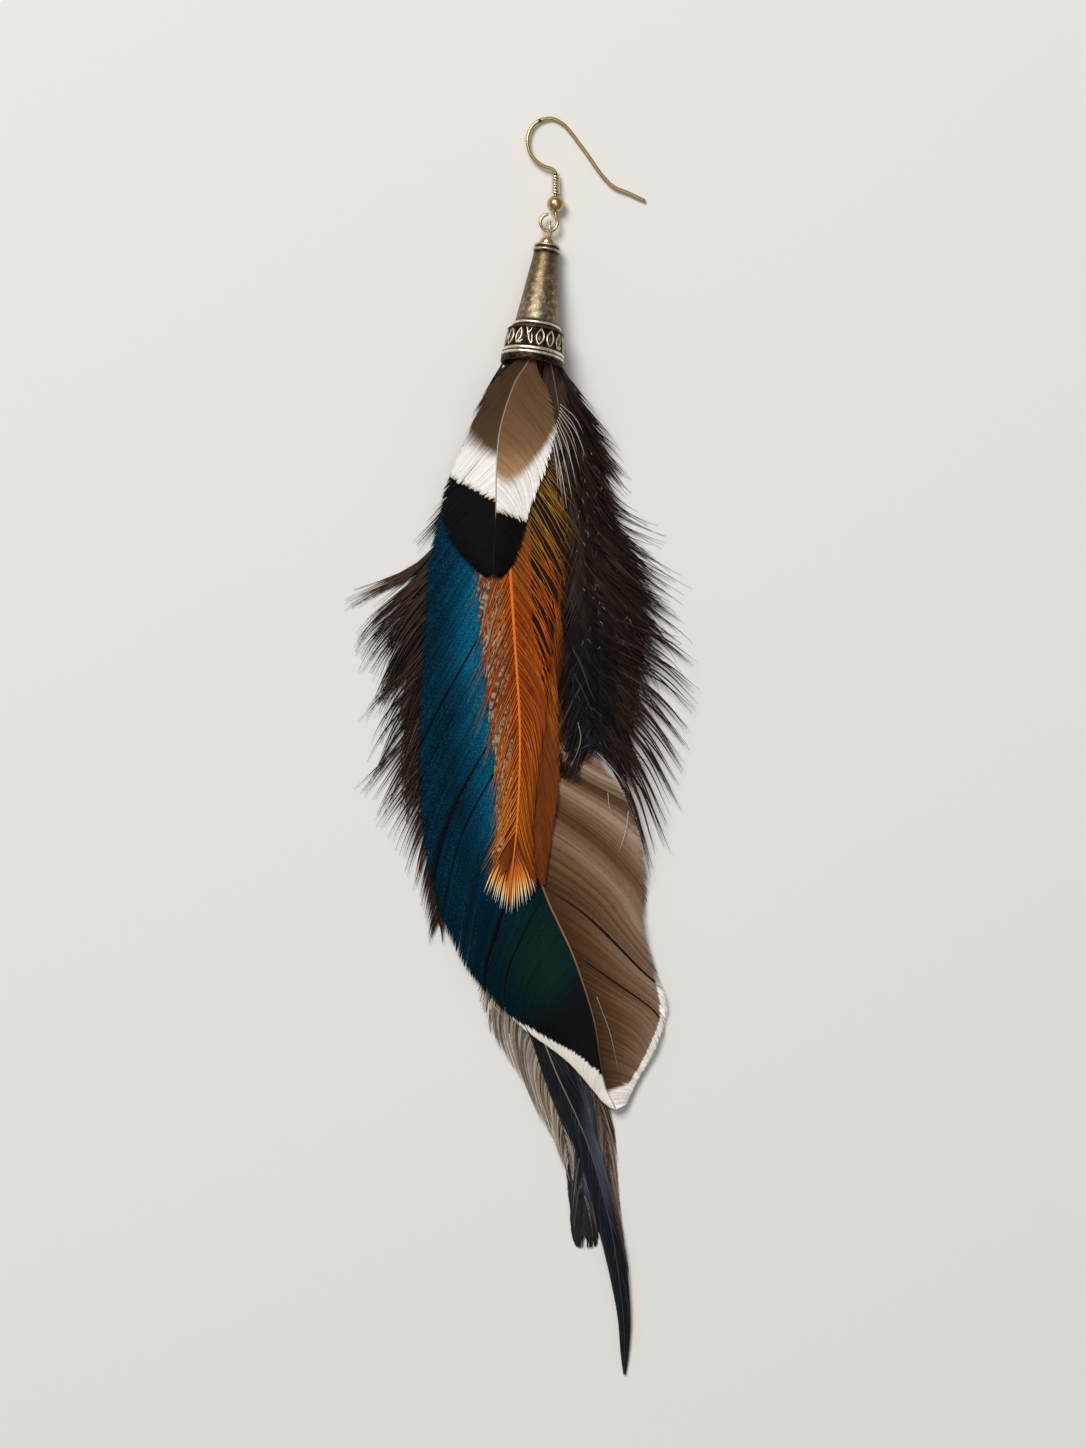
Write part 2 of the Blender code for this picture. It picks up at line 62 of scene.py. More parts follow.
camera_data = bpy.data.cameras.new("camera")
camera_data.lens = LENS
camera_data.sensor_width = SENSOR_SIDE
camera_data.clip_start = 0.01
camera_data.clip_end = 10.0
camera = bpy.data.objects.new("camera", camera_data)
bpy.context.scene.collection.objects.link(camera)
distance = PHOTO_HEIGHT * PIXEL * LENS / SENSOR_SIDE
camera.location = [c * MM for c in (VIEW_CENTRE[0], VIEW_CENTRE[1], VIEW_CENTRE[2] + distance)]
bpy.context.scene.camera = camera
print("camera", round(distance), "mm above the earring")

# %% [markdown]
# ## Writing a material as sums
# A material is a graph of nodes, and a graph is hard to read in a script. `Socket` wraps a node's
# output, so that `1 - mask * 0.5` adds the Math nodes by itself. `Paint` holds one material: its
# `node` method makes any other node, and the short methods under it make the common ones.

# %% Sockets that can be summed
class Socket:
    """A node's output that takes part in Python sums."""

    def __init__(self, paint, link):
        self.paint = paint
        self.link = link

    def maths(self, operation, *values):
        return self.paint.node("ShaderNodeMath", {"operation": operation}, dict(enumerate(values)))

    def __add__(self, other):
        return self.maths("ADD", self, other)

    def __sub__(self, other):
        return self.maths("SUBTRACT", self, other)

    def __rsub__(self, other):
        return self.maths("SUBTRACT", other, self)

    def __mul__(self, other):
        return self.maths("MULTIPLY", self, other)

    def __truediv__(self, other):
        return self.maths("DIVIDE", self, other)

    def __pow__(self, other):
        return self.maths("POWER", self, other)

    def __abs__(self):
        return self.maths("ABSOLUTE", self)

    __radd__ = __add__
    __rmul__ = __mul__


# %% A material under construction
class Paint:
    """One material, with the coordinates that the pieces of this earring carry."""

    def __init__(self, name, **constants):
        self.material = bpy.data.materials.new(name)
        self.material.use_nodes = True
        self.tree = self.material.node_tree
        self.shader = self.tree.nodes["Principled BSDF"]
        place = self.node("ShaderNodeTexCoord", {}, {}, "Object")
        self.x, self.y, self.z = [part * (1 / MM) for part in self.split(place)]
        for socket, value in constants.items():
            self.shader.inputs[socket.replace("_", " ")].default_value = value

    def node(self, kind, settings, inputs, output=0):
        """Any node: settings first, then the values or links of its sockets."""
        made = self.tree.nodes.new(kind)
        for key, value in settings.items():
            if key == "stops":
                self.set_stops(made.color_ramp, value)
            else:
                setattr(made, key, value)
        for key, value in inputs.items():
            if isinstance(value, Socket):
                self.tree.links.new(value.link, made.inputs[key])
            else:
                made.inputs[key].default_value = value
        return Socket(self, made.outputs[output])

    @staticmethod
    def set_stops(ramp, stops):
        while len(ramp.elements) > len(stops):
            ramp.elements.remove(ramp.elements[-1])
        while len(ramp.elements) < len(stops):
            ramp.elements.new(1.0)
        for element, (where, colour) in zip(ramp.elements, stops):
            element.position = where
            element.color = rgb(*colour)

    def ramp(self, value, *stops):
        """A colour from stops of (place, screen colour)."""
        return self.node("ShaderNodeValToRGB", {"stops": stops}, {"Fac": value})

    def step(self, value, low, high):
        """0 below low, 1 above high and smooth between them."""
        inputs = {"Value": value, "From Min": low, "From Max": high}
        return self.node("ShaderNodeMapRange", {"interpolation_type": "SMOOTHSTEP"}, inputs)

    def blend(self, share, low, high):
        """A colour between two colours, each a socket or a screen colour."""
        low, high = [c if isinstance(c, Socket) else rgb(*c) for c in (low, high)]
        return self.node("ShaderNodeMix", {"data_type": "RGBA"}, {0: share, 6: low, 7: high}, 2)

    def shade(self, colour, factor):
        """A colour made darker or lighter by a number."""
        grey = self.vector(factor, factor, factor)
        return self.node("ShaderNodeVectorMath", {"operation": "MULTIPLY"}, {0: colour, 1: grey})

    def noise(self, vector, scale, detail=2.0, rough=0.5):
        inputs = {"Vector": vector, "Scale": scale, "Detail": detail, "Roughness": rough}
        return self.node("ShaderNodeTexNoise", {}, inputs)

    def vector(self, x, y, z=0.0):
        return self.node("ShaderNodeCombineXYZ", {}, {"X": x, "Y": y, "Z": z})

    def split(self, vector):
        parts = self.node("ShaderNodeSeparateXYZ", {}, {"Vector": vector})
        return [Socket(self, out) for out in parts.link.node.outputs]

    def numbers(self, name):
        """The three numbers that each point carries under a name."""
        return self.split(self.node("ShaderNodeAttribute", {"attribute_name": name}, {}, "Vector"))

    def spot(self, x, y, reach_x, reach_y):
        """1 at a spot of the earring, in millimetres, and 0 from its reach outwards."""
        across = (self.x - x) / reach_x
        down = (self.y - y) / reach_y
        return 1 - self.step((across * across + down * down) ** 0.5, 0.0, 1.0)

    def bump(self, height, strength, depth=0.05):
        inputs = {"Height": height, "Strength": strength, "Distance": depth * MM}
        return self.node("ShaderNodeBump", {}, inputs)

    def feed(self, **sockets):
        for name, value in sockets.items():
            self.tree.links.new(value.link, self.shader.inputs[name.replace("_", " ")])
        return self.material


def rgb(*screen):
    """A screen colour of 0 to 255 as the linear numbers that a shader takes."""
    parts = [c / 255 for c in screen]
    return (*[c / 12.92 if c <= 0.04045 else ((c + 0.055) / 1.055) ** 2.4 for c in parts], 1.0)


print("white is", rgb(255, 255, 255))

# %% [markdown]
# ## From numbers to a mesh
# A feather has thousands of barbs, so its mesh is made from number arrays in one go, not face by
# face. `Piece` collects closed shells. Each point carries `place` (how far along the feather, which
# side of the quill and how far out, and one chance number per barb) and `barb` (where its barb
# leaves the quill, how many millimetres are left to the edge, and a tone that tells the layers of
# one feather apart and its tufts from each other, so that a finish can paint each tuft lighter or
# darker as painted light). The UV map gives every barb a strip of its own.

# %% Piece collects closed shells
class Piece:
    def __init__(self, name):
        self.name = name
        self.shells = []
        self.points = 0

    def add(self, points, quads, triangles, place, barb, uv, smooth_faces):
        """One closed shell; the last axis of each array holds x, y, z, a face's corners or u, v.

        The sign of the enclosed volume tells whether the faces point inwards, and turns them round.
        """
        points, place, barb = [a.reshape(-1, 3) for a in (points, place, barb)]
        uv = uv.reshape(-1, 2)
        quads = np.asarray(quads, int).reshape(-1, 4)
        triangles = np.asarray(triangles, int).reshape(-1, 3)
        halves = np.vstack((quads[:, :3], quads[:, [0, 2, 3]], triangles))
        a, b, c = [points[halves[:, i]] - points.mean(0) for i in range(3)]
        if (a * np.cross(b, c)).sum() < 0:
            quads = quads[:, ::-1]
            triangles = triangles[:, ::-1]
        quads = quads + self.points
        triangles = triangles + self.points
        self.points += len(points)
        self.shells.append((points, quads, triangles, place, barb, uv, smooth_faces))

    def build(self, material, body, node, slot):
        """Makes the object, which rides on a body and stands for a CAD node."""
        points, quads, triangles, place, barb, uv, smooth_faces = zip(*self.shells)
        faces = quads + triangles
        corners = np.concatenate([a.ravel() for a in faces])
        sizes = np.concatenate([np.full(len(a), a.shape[1]) for a in faces])
        starts = np.concatenate(([0], np.cumsum(sizes)[:-1]))
        rounded = np.concatenate([np.full(len(a), s) for a, s in zip(faces, smooth_faces * 2)])
        points = np.concatenate(points)
        mesh = bpy.data.meshes.new(self.name)
        mesh.vertices.add(len(points))
        mesh.vertices.foreach_set("co", (points * MM).astype(np.float32).ravel())
        mesh.loops.add(len(corners))
        mesh.loops.foreach_set("vertex_index", corners.astype(np.int32))
        mesh.polygons.add(len(starts))
        mesh.polygons.foreach_set("loop_start", starts.astype(np.int32))
        mesh.polygons.foreach_set("use_smooth", rounded)
        mesh.update(calc_edges=True)
        uv = np.concatenate(uv)
        layer = mesh.uv_layers.new(name="OFBake")
        layer.uv.foreach_set("vector", uv[corners].astype(np.float32).ravel())
        for name, rows in (("place", place), ("barb", barb)):
            layer = mesh.attributes.new(name, "FLOAT_VECTOR", "POINT")
            layer.data.foreach_set("vector", np.concatenate(rows).astype(np.float32).ravel())
        mesh.materials.append(material)
        made = bpy.data.objects.new(self.name, mesh)
        bpy.context.scene.collection.objects.link(made)
        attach(made, body)
        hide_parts(node)
        map_box = [side.round(3).tolist() for side in (uv.min(0), uv.max(0))]
        print(self.name, "triangles", int((sizes - 2).sum()), "map", map_box)


# %% Grids and tubes
def together(*arrays):
    """Arrays that broadcast to one shape, as the parts of a new last axis."""
    return np.stack(np.broadcast_arrays(*arrays), -1)


def grid_quads(rows, sides):
    """Quads between rows of points that close round, row after row."""
    row, side = np.meshgrid(np.arange(rows - 1), np.arange(sides), indexing="ij")
    near, far = row * sides, (row + 1) * sides
    after = (side + 1) % sides
    return together(near + side, near + after, far + after, far + side).reshape(-1, 4)


def end_fans(rows, sides):
    """Triangles that close the first and the last row of such a grid."""
    last = (rows - 1) * sides
    first_cap = [(0, j + 1, j) for j in range(1, sides - 1)]
    last_cap = [(last, last + j, last + j + 1) for j in range(1, sides - 1)]
    return first_cap + last_cap


def unit(vectors):
    return vectors / np.maximum(np.linalg.norm(vectors, axis=-1, keepdims=True), 1e-9)


def add_tube(piece, path, radius, sides, tone=0.0, wear_and_shade=0.5, band=(0.0, 1.0), flat=1.0):
    """A wire along a path, round or flattened, with closed ends."""
    path = np.asarray(path, float)
    count = len(path)
    radius = np.broadcast_to(radius, (count,))
    along = unit(np.gradient(path, axis=0))
    side = np.cross(along[0], (0.0, 0.0, 1.0))
    if np.linalg.norm(side) < 0.1:
        side = np.array((1.0, 0.0, 0.0))
    sides_found = []
    for direction in along:
        side = unit(side - direction * np.dot(side, direction))
        sides_found.append(side)
    side = np.array(sides_found)
    up = np.cross(side, along)
    angle = -2 * np.pi * np.arange(sides)[:, None] / sides
    ring = side[:, None] * np.cos(angle) + up[:, None] * np.sin(angle) * flat
    points = path[:, None] + ring * radius[:, None, None]
    share = np.linspace(0, 1, count)[:, None]
    each_side = np.zeros(sides)
    turn = np.abs(np.linspace(-1, 1, sides))
    uv = together(share * 0.98 + 0.01, band[0] + (band[1] - band[0]) * (0.05 + 0.9 * turn))
    piece.add(points, grid_quads(count, sides), end_fans(count, sides),
              together(share, wear_and_shade, 0.5 + each_side), together(share, 0.0, tone + each_side), uv, True)


# %% [markdown]
# ## Where each feather lies
# A feather is drawn by three lines seen from above: its left edge, its quill and its right edge.
# A point of it is named by the millimetres along the quill and by its share of the way to an edge,
# -1 at the left and 1 at the right. The heights repeat the CAD model's rule: nested arcs at the
# cap's mouth, then sheets on levels above the table.

# %% Layout of the cap and the sheets
CAP_MOUTH = np.array((1.0, 64.6))
CAP_YAW = math.radians(7.4)
SHOULDER_HEIGHT = 5.75
SHOULDER_RADIUS = 4.85
COLLAR_HEIGHT = 20.2
COLLAR_RADIUS = 2.33
CAP_TILT = math.atan((SHOULDER_RADIUS - COLLAR_RADIUS) / (COLLAR_HEIGHT - SHOULDER_HEIGHT))
MOUTH_Z = SHOULDER_HEIGHT * math.sin(CAP_TILT) + SHOULDER_RADIUS * math.cos(CAP_TILT)
CAP_AXIS = np.array((
    math.sin(CAP_YAW) * math.cos(CAP_TILT), math.cos(CAP_YAW) * math.cos(CAP_TILT), -math.sin(CAP_TILT)))
CAP_SIDE = np.array((math.cos(CAP_YAW), -math.sin(CAP_YAW), 0.0))
CAP_UP = np.cross(CAP_SIDE, CAP_AXIS)
SHEET = 0.3
PITCH = 0.6
SETTLE = 16.0
NEST_END = 8.0
NEST_RADIUS = 4.9
QUILL_DEPTHS = (6.0, 0.4)
print("mouth", round(MOUTH_Z, 2), "mm above the table, tilt", round(math.degrees(CAP_TILT), 1))


def on_cap(across, up, along):
    """Millimetres from the middle of the cap's mouth to the earring's own."""
    mouth = np.array((*CAP_MOUTH, MOUTH_Z))
    return mouth + across[..., None] * CAP_SIDE + up[..., None] * CAP_UP + along[..., None] * CAP_AXIS


def smooth(t):
    t = np.clip(t, 0.0, 1.0)
    return t * t * (3.0 - 2.0 * t)


def curve(points, t):
    """Points at t, 0 to 1, of the smooth curve through all the rows of points."""
    spans = len(points) - 1
    padded = np.vstack((2 * points[0] - points[1], points, 2 * points[-1] - points[-2]))
    place = np.clip(t, 0, 1) * spans
    i = np.minimum(place.astype(int), spans - 1)
    f = (place - i)[..., None]
    a, b, c, d = padded[i], padded[i + 1], padded[i + 2], padded[i + 3]
    second = 2 * a - 5 * b + 4 * c - d
    third = 3 * b - a - 3 * c + d
    return 0.5 * (2 * b + (c - a) * f + second * f ** 2 + third * f ** 3)


# %% Sheet is the surface that one feather lies on
class Sheet:
    """rows: points of the three lines; levels: heights, in pitches, of the three lines at even
    steps along the quill; socket: the quill's place in the cap's mouth, across and up; camber: how
    far the quill stands above the edges."""

    def __init__(self, rows, levels, socket, camber):
        self.rows = np.array([left + quill + right for left, quill, right in rows], float)
        self.levels = np.array(levels, float)
        self.nest = socket[1] / math.sqrt(1.0 - (socket[0] / NEST_RADIUS) ** 2)
        self.camber = camber
        mouth = on_cap(*np.array(socket), np.array(0.0))
        self.quill = [mouth + CAP_AXIS * depth for depth in QUILL_DEPTHS]
        self.steps = np.linspace(0, 1, 600)
        quill = curve(self.rows, self.steps)[:, 2:4]
        self.lengths = np.concatenate(([0], np.cumsum(np.linalg.norm(np.diff(quill, axis=0), axis=1))))
        self.length = self.lengths[-1]

    def height(self, spot, level):
        """The CAD plate's middle at a spot, and 0 to 1 for how far it has settled from the cap."""
        offset = CAP_MOUTH - spot
        flat_axis = unit(CAP_AXIS[:2])
        out = offset @ flat_axis
        across = -(offset @ CAP_SIDE[:2])
        arc = np.sqrt(np.maximum(0.05, 1 - (across / NEST_RADIUS) ** 2))
        at_mouth = MOUTH_Z + self.nest * (arc + (1 - arc) * smooth(out / NEST_END))
        at_rest = SHEET / 2 + level * PITCH
        inside = np.minimum(out, 0.0) * math.tan(CAP_TILT)
        settled = smooth(out / SETTLE)
        return at_mouth + (at_rest - at_mouth) * settled + inside, settled

    def at(self, along, share):
        """Points for millimetres along the quill and shares of the way to an edge."""
        along, share = np.broadcast_arrays(along, share)
        t = np.interp(along, self.lengths, self.steps)
        row = curve(self.rows, t)
        edge = np.where(share[..., None] < 0, row[..., 0:2], row[..., 4:6])
        spot = row[..., 2:4] + (edge - row[..., 2:4]) * np.abs(share)[..., None]
        marks = np.linspace(0, 1, len(self.levels))
        left, quill, right = [np.interp(t, marks, self.levels[:, i]) for i in range(3)]
        level = quill + (np.where(share < 0, left, right) - quill) * np.abs(share)
        height, settled = self.height(spot, level)
        rise = self.camber * (1 - share ** 2) * settled
        margin = np.linalg.norm(edge - row[..., 2:4], axis=-1) * (1 - np.abs(share))
        return np.concatenate((spot, (height + rise)[..., None]), -1), margin


# %% [markdown]
# ## Barbs
# A vane is a row of barbs that hook into one another. Each barb here is a thin closed strip with a
# roof-shaped section, on a path that leaves the quill and bends towards the tip. Its width comes
# from the distance to the next barb, so a vane closes by itself whatever its outline. A loose barb
# is narrower than that distance, and light and dark gaps open between the strands.

# %% Feather lays barbs on a sheet
ROOF = ((-0.5, 0.0), (0.0, 1.0), (0.5, 0.0))
STRIPS_PER_ROW = 400
ROOT_JITTER = 0.15
# How far each tuft's tone is shifted, for the painted light that makes one tuft lighter or darker than the
# next.
TUFT_LIGHT_SPREAD = 0.15
TABLE_GAP = 0.05
THINNEST = 0.03
QUILL_RISE = 0.12
RACHIS = 2.0
HAIR = 3.0


def per_root(value, roots):
    """One number, or a number for each barb from (root, number) pairs."""
    return np.interp(roots, *zip(*value))[:, None] if isinstance(value, tuple) else value


class Feather:
    """All strips of one feather. The arguments after the seed are those of Sheet."""

    def __init__(self, name, seed, *layout):
        self.piece = Piece(name)
        self.sheet = Sheet(*layout)
        self.length = self.sheet.length
        self.chance = np.random.default_rng(seed)
        self.layers = 0

    def next_band(self):
        """The next layer's share of the UV map, which build divides by the number of layers."""
        self.layers += 1
        return self.layers - 1, self.layers

    def build(self, finish, node, slot):
        for shell in self.piece.shells:
            shell[5][:, 1] /= self.layers
        self.piece.build(finish, "drop", node, slot)

    def rachis(self, start, end, radius, tip_radius, tone=RACHIS, sink=0.0):
        """The quill, from its foot in the cap to the tip, slightly flattened."""
        along = np.linspace(start, end, 70)
        path, _ = self.sheet.at(along, 0.0)
        path[:, 2] += QUILL_RISE - sink
        share = (along - start) / (end - start)
        width = radius + (tip_radius - radius) * share ** 0.8
        path = np.vstack((self.sheet.quill, path[2:]))
        width = np.concatenate(((radius, radius), width[2:]))
        add_tube(self.piece, path, width, 8, tone=tone, wear_and_shade=0.0, band=self.next_band(), flat=0.8)

    def barbs(self, side, start, end, spacing, sweep, **how):
        """Barbs at nearly even spacing along one side of the quill."""
        count = max(2, int((end - start) / spacing))
        roots = np.linspace(start, end, count)
        roots = roots + self.chance.uniform(-ROOT_JITTER, ROOT_JITTER, count) * spacing
        self.lay(side, np.sort(roots), sweep, **how)

    def lay(self, side, roots, sweep, reach=1.0, bend=0.6, steps=12, web=1.25, widest=9.0, thick=0.07,
            tilt=0.12, tone=0.0, taper=0.85, ragged=0.03, wave=0.0, rise=0.0, splits=(), clump=0.0,
            pinch=0.0, lift=0.0, uneven=0.06, inner=0.0, smooth_faces=False, curl=0.0, ripple=None):
        """The strips of one side. sweep is how far a barb runs towards the tip, in millimetres.

        reach and inner are the shares of the way to the edge at a barb's two ends. clump is the
        width of a tuft at the quill, and pinch is how far its tips draw together. Each split is
        (root, half the gap, width of the barbs that give way).
        """
        count = len(roots)
        chance = self.chance
        s = np.linspace(0, 1, steps + 1)[None, :]
        root = roots[:, None]
        sweep, reach = per_root(sweep, roots), per_root(reach, roots)
        room = np.maximum(self.length - root, 0.05)
        run = room * (1 - np.exp(-sweep / room))
        run = run * (1 + chance.normal(0, ragged, (count, 1)))
        along = root + run * (bend * s + (1 - bend) * s ** 2)
        share = side * (inner + (reach - inner) * s * (1 + chance.normal(0, ragged, (count, 1))))
        group = np.arange(count)
        if clump:
            bounds = np.cumsum(chance.uniform(0.5, 1.5, int(3 * self.length / clump) + 4) * clump)
            group = np.digitize(roots, bounds + roots[0])
            middle = np.array([roots[group == g].mean() for g in group])[:, None]
            pull = chance.uniform(0.6, 1.0, count)[group][:, None]
            along = along + (middle - root) * pinch * pull * s ** 1.5
        tuft = chance.uniform(-1, 1, (int(group.max()) + 1, 4))[group]
        share = share * (1 + uneven * tuft[:, 0:1] * s * (clump > 0))
        for where, gap, width in splits:
            away = root - where
            along = along + np.sign(away) * gap * np.exp(-np.abs(away) / width) * smooth(s * 1.6)
        if wave:
            swing = np.sin((4 + 2 * tuft[:, 1:2]) * s + 3 * tuft[:, 2:3])
            own = np.sin(5 * s + chance.uniform(0, 2 * np.pi, (count, 1)))
            along = along + wave * s * (swing + 0.35 * own)
        along = np.minimum(along, self.length)
        path, margin = self.sheet.at(along, share)
        path[..., 2] += rise + lift * tuft[:, 3:4] * s * (clump > 0)
        if ripple is not None:
            path[..., 2] += ripple(root, np.abs(share))
        path[..., 2] += curl * s ** 2 * chance.uniform(0, 1, (count, 1))
        path[..., 2] = np.maximum(path[..., 2], TABLE_GAP)
        direction = unit(np.gradient(path, axis=1))
        gap = np.diff(path, axis=0, append=2 * path[-1:] - path[-2:-1])
        gap = np.linalg.norm(gap - direction * (gap * direction).sum(-1, keepdims=True), axis=-1)
        gap[-1] = gap[-2]
        width = np.minimum(gap * web, widest)
        width = np.maximum(width * (1 - smooth((s - taper) / (1 - taper)) * 0.9), THINNEST)
        place = together(along / self.length, share, chance.uniform(0, 1, (count, 1)))
        # Painted light: the tuft's shift in tone, which the plume finish turns into a lighter or darker
        # tuft.
        tone_and_tuft_light = tone + TUFT_LIGHT_SPREAD * tuft[:, 0:1] * (clump > 0)
        barb = together(root / self.length, margin, tone_and_tuft_light)
        self.strips(path, width, thick, tilt * side, place, barb, smooth_faces)

    def strips(self, path, width, thick, tilt, place, barb, smooth_faces):
        """Roof-shaped strips along the paths, each with its own piece of the UV map."""
        count, stops = width.shape
        direction = unit(np.gradient(path, axis=1))
        up = unit(np.array((0.0, 0.0, 1.0)) - direction * direction[..., 2:3])
        side = np.cross(direction, up)
        tilted_side = side * math.cos(tilt) + up * math.sin(tilt)
        tilted_up = up * math.cos(tilt) - side * math.sin(tilt)
        height = np.minimum(thick, width * 0.5)[..., None]
        points = np.stack([path + tilted_side * width[..., None] * across + tilted_up * height * high
                           for across, high in ROOF], 2)
        rows_needed = -(-count // STRIPS_PER_ROW)
        band = self.next_band()
        band_height = (band[1] - band[0]) / rows_needed
        across = np.array([0.5 + 0.8 * a for a, _ in ROOF])
        down = 0.04 + 0.92 * np.linspace(0, 1, stops)[:, None]
        strip = np.arange(count)[:, None, None]
        uv = together((strip % STRIPS_PER_ROW + across) / STRIPS_PER_ROW,
                      band[0] + band_height * (strip // STRIPS_PER_ROW + down))
        corners = len(ROOF)
        place, barb = [np.repeat(numbers[:, :, None], corners, 2) for numbers in (place, barb)]
        offset = strip * stops * corners
        self.piece.add(points, grid_quads(stops, corners) + offset,
                       np.array(end_fans(stops, corners)) + offset, place, barb, uv, smooth_faces)

    def hairs(self, lines, width, tone, thick=0.07, steps=14, taper=0.5):
        """Single loose barbs through points given in millimetres."""
        t = np.linspace(0, 1, steps + 1)
        path = np.stack([curve(np.array(line, float), t) for line in lines])
        path[..., 2] = np.maximum(path[..., 2], TABLE_GAP)
        widths = np.broadcast_to(width * (1 - smooth((t - taper) / (1 - taper)) * 0.85), path.shape[:2])
        luck = self.chance.uniform(0, 1, (len(lines), 1))
        place, barb = together(t, 1.0, luck), together(t, 1.0, tone + 0 * luck)
        self.strips(path, widths, thick, 0.0, place, barb, True)


print("barb sections have", len(ROOF), "corners")

# %% [markdown]
# ## Feather finishes
# A feather's colour changes along its quill, from the quill to the edge, and from barb to barb.
# `VanePaint` reads the three numbers of `place` and of `barb`, so a band or a fringe is written as
# a sum of millimetres, and the chance number gives its border the teeth that real barbs give it.

# %% VanePaint reads where a point is on its feather
class VanePaint(Paint):
    def __init__(self, name, length, **constants):
        super().__init__(name, **constants)
        along, self.share, self.luck = self.numbers("place")
        root, self.margin, self.tone = self.numbers("barb")
        self.along = along * length
        self.root = root * length
        self.out = abs(self.share)
        self.right = self.step(self.share, -0.01, 0.01)
        self.left = 1 - self.right

    def sides(self, left, right):
        """One number on the left vane and another on the right."""
        return left * self.left + right * self.right

    def is_tone(self, tone):
        """1 on the layer of that tone."""
        return 1 - self.step(abs(self.tone - tone), 0.2, 0.3)

    def streaks(self, across, lengthwise, detail=2.0):
        """Noise drawn out along the barbs, about -0.5 to 0.5."""
        return self.noise(self.vector(self.root * across, self.share * lengthwise), 1.0, detail) - 0.5

    def bands(self, colour, *layers):
        """Lays (mask, colour) one over the other."""
        for mask, over in layers:
            colour = self.blend(mask, colour, over)
        return colour

    def finish(self, colour, roughness, contrast=0.5, strength=0.35, grain=9.0):
        """Barb to barb contrast, fine relief of the barbules, and the shader's links."""
        fine = self.noise(self.vector(self.root * grain, self.out * 40, self.luck * 7), 1.0, 1.0)
        colour = self.shade(colour, 1 + (self.luck - 0.5) * contrast + (fine - 0.5) * contrast)
        rough = roughness + (fine - 0.5) * 0.25
        return self.feed(Base_Color=colour, Roughness=rough, Normal=self.bump(fine, strength))


print("feather finishes read", ("place", "barb"))

# %% [markdown]
# ## Banded covert
# The top feather is a wing covert: taupe brown at the quill, then a white band, then a black tip.
# Its barbs stay hooked together, so both vanes are webs that close. A few barbs have come apart on
# both sides, which shows as thin split lines.

# %% Banded covert
def covert_finish(length):
    p = VanePaint("banded_covert_vane", length, Specular_IOR_Level=0.04)
    fine = p.streaks(2.2, 3.0)
    tooth = (p.luck - 0.5) * 1.3 + fine * 2.0
    white_from = p.sides(20.3 - p.out * 4.1, 23.3 + p.out * 9.0 - p.out * p.out * 17.0)
    black_from = p.sides(27.6 - p.out * 6.2, 29.1 + p.out * 1.4)
    white = p.step(p.along - white_from + fine * 2.4, -1.9, 1.3)
    black = p.step(p.along - black_from + tooth * 0.5, -0.12, 0.12)
    tan = p.step(p.along - black_from + tooth * 0.6, -0.75, 0.0) * (0.4 + p.luck * 0.6)
    brown = p.ramp((p.along + fine * 3) / length,
                   (0.0, (76, 54, 36)), (0.25, (106, 80, 56)), (0.45, (126, 95, 64)),
                   (0.56, (166, 128, 88)))
    brown = p.blend(p.left, brown, p.shade(brown, 0.47))
    colour = p.bands(brown, (white, (238, 232, 224)), (tan, (150, 118, 84)), (black, (11, 10, 12)))
    shaft = p.ramp(p.along / length, (0.0, (104, 84, 66)), (0.3, (160, 136, 110)),
                   (0.55, (190, 168, 142)), (0.72, (150, 132, 114)), (0.76, (34, 32, 36)))
    colour = p.blend(p.is_tone(RACHIS), colour, shaft)
    return p.finish(colour, 0.55, contrast=0.28)


def banded_covert():
    feather = Feather("covert_vane", 11, (
        ((-3.0, 68.0), (0.9, 68.0), (3.4, 68.0)),
        ((-4.4, 65.0), (0.4, 64.9), (3.4, 64.8)),
        ((-5.9, 61.5), (-1.8, 61.4), (3.8, 61.2)),
        ((-9.4, 53.9), (-4.2, 54.2), (5.3, 54.7)),
        ((-13.0, 45.9), (-4.9, 47.4), (3.7, 47.6)),
        ((-14.4, 40.6), (-5.0, 41.1), (0.9, 40.6)),
        ((-13.0, 35.4), (-5.2, 35.0), (-0.6, 34.9)),
        ((-9.1, 30.6), (-5.4, 30.8), (-2.3, 30.6)),
        ((-6.4, 28.6), (-5.4, 28.6), (-4.3, 28.6)),
    ), ((7.8, 8.3, 8.3), (5.4, 8.3, 8.0), (7.2, 7.5, 7.4)), (-0.6, 3.8), 0.45)
    sweep = ((0, 9.0), (10, 13.0), (20, 13.0), (34, 6.0), (40, 3.0))
    web = dict(steps=14, web=1.35, bend=0.62, thick=0.028, tilt=0.06, ragged=0.012, taper=0.95)
    left_splits = ((16.5, 0.35, 1.2), (9.0, 0.2, 0.8), (26.0, 0.2, 0.9))
    for side, splits in ((-1, left_splits), (1, ((8.0, 0.12, 0.8),))):
        feather.barbs(side, 0.0, 39.8, 0.26, sweep, splits=splits, **web)
    feather.rachis(1.0, 40.0, 0.21, 0.05, sink=0.08)
    feather.build(covert_finish(feather.length), "banded_covert", "banded_vane")


banded_covert()

# %% [markdown]
# ## Small grey feather
# A narrow body feather lies beside the covert. Its upper part is a web, and near its right edge
# the barbs are loose and almost white, with curved tips.

# %% Small grey feather
def grey_finish(length):
    p = VanePaint("small_grey_vane", length, Specular_IOR_Level=0.1)
    base = p.ramp(p.along / length, (0.0, (46, 34, 26)), (0.5, (66, 49, 37)), (1.0, (84, 68, 54)))
    hair = p.blend(p.luck, (240, 236, 230), (164, 154, 144))
    colour = p.bands(base, (p.is_tone(RACHIS), (112, 96, 80)), (p.is_tone(HAIR), hair))
    return p.finish(colour, 0.6, contrast=0.5)


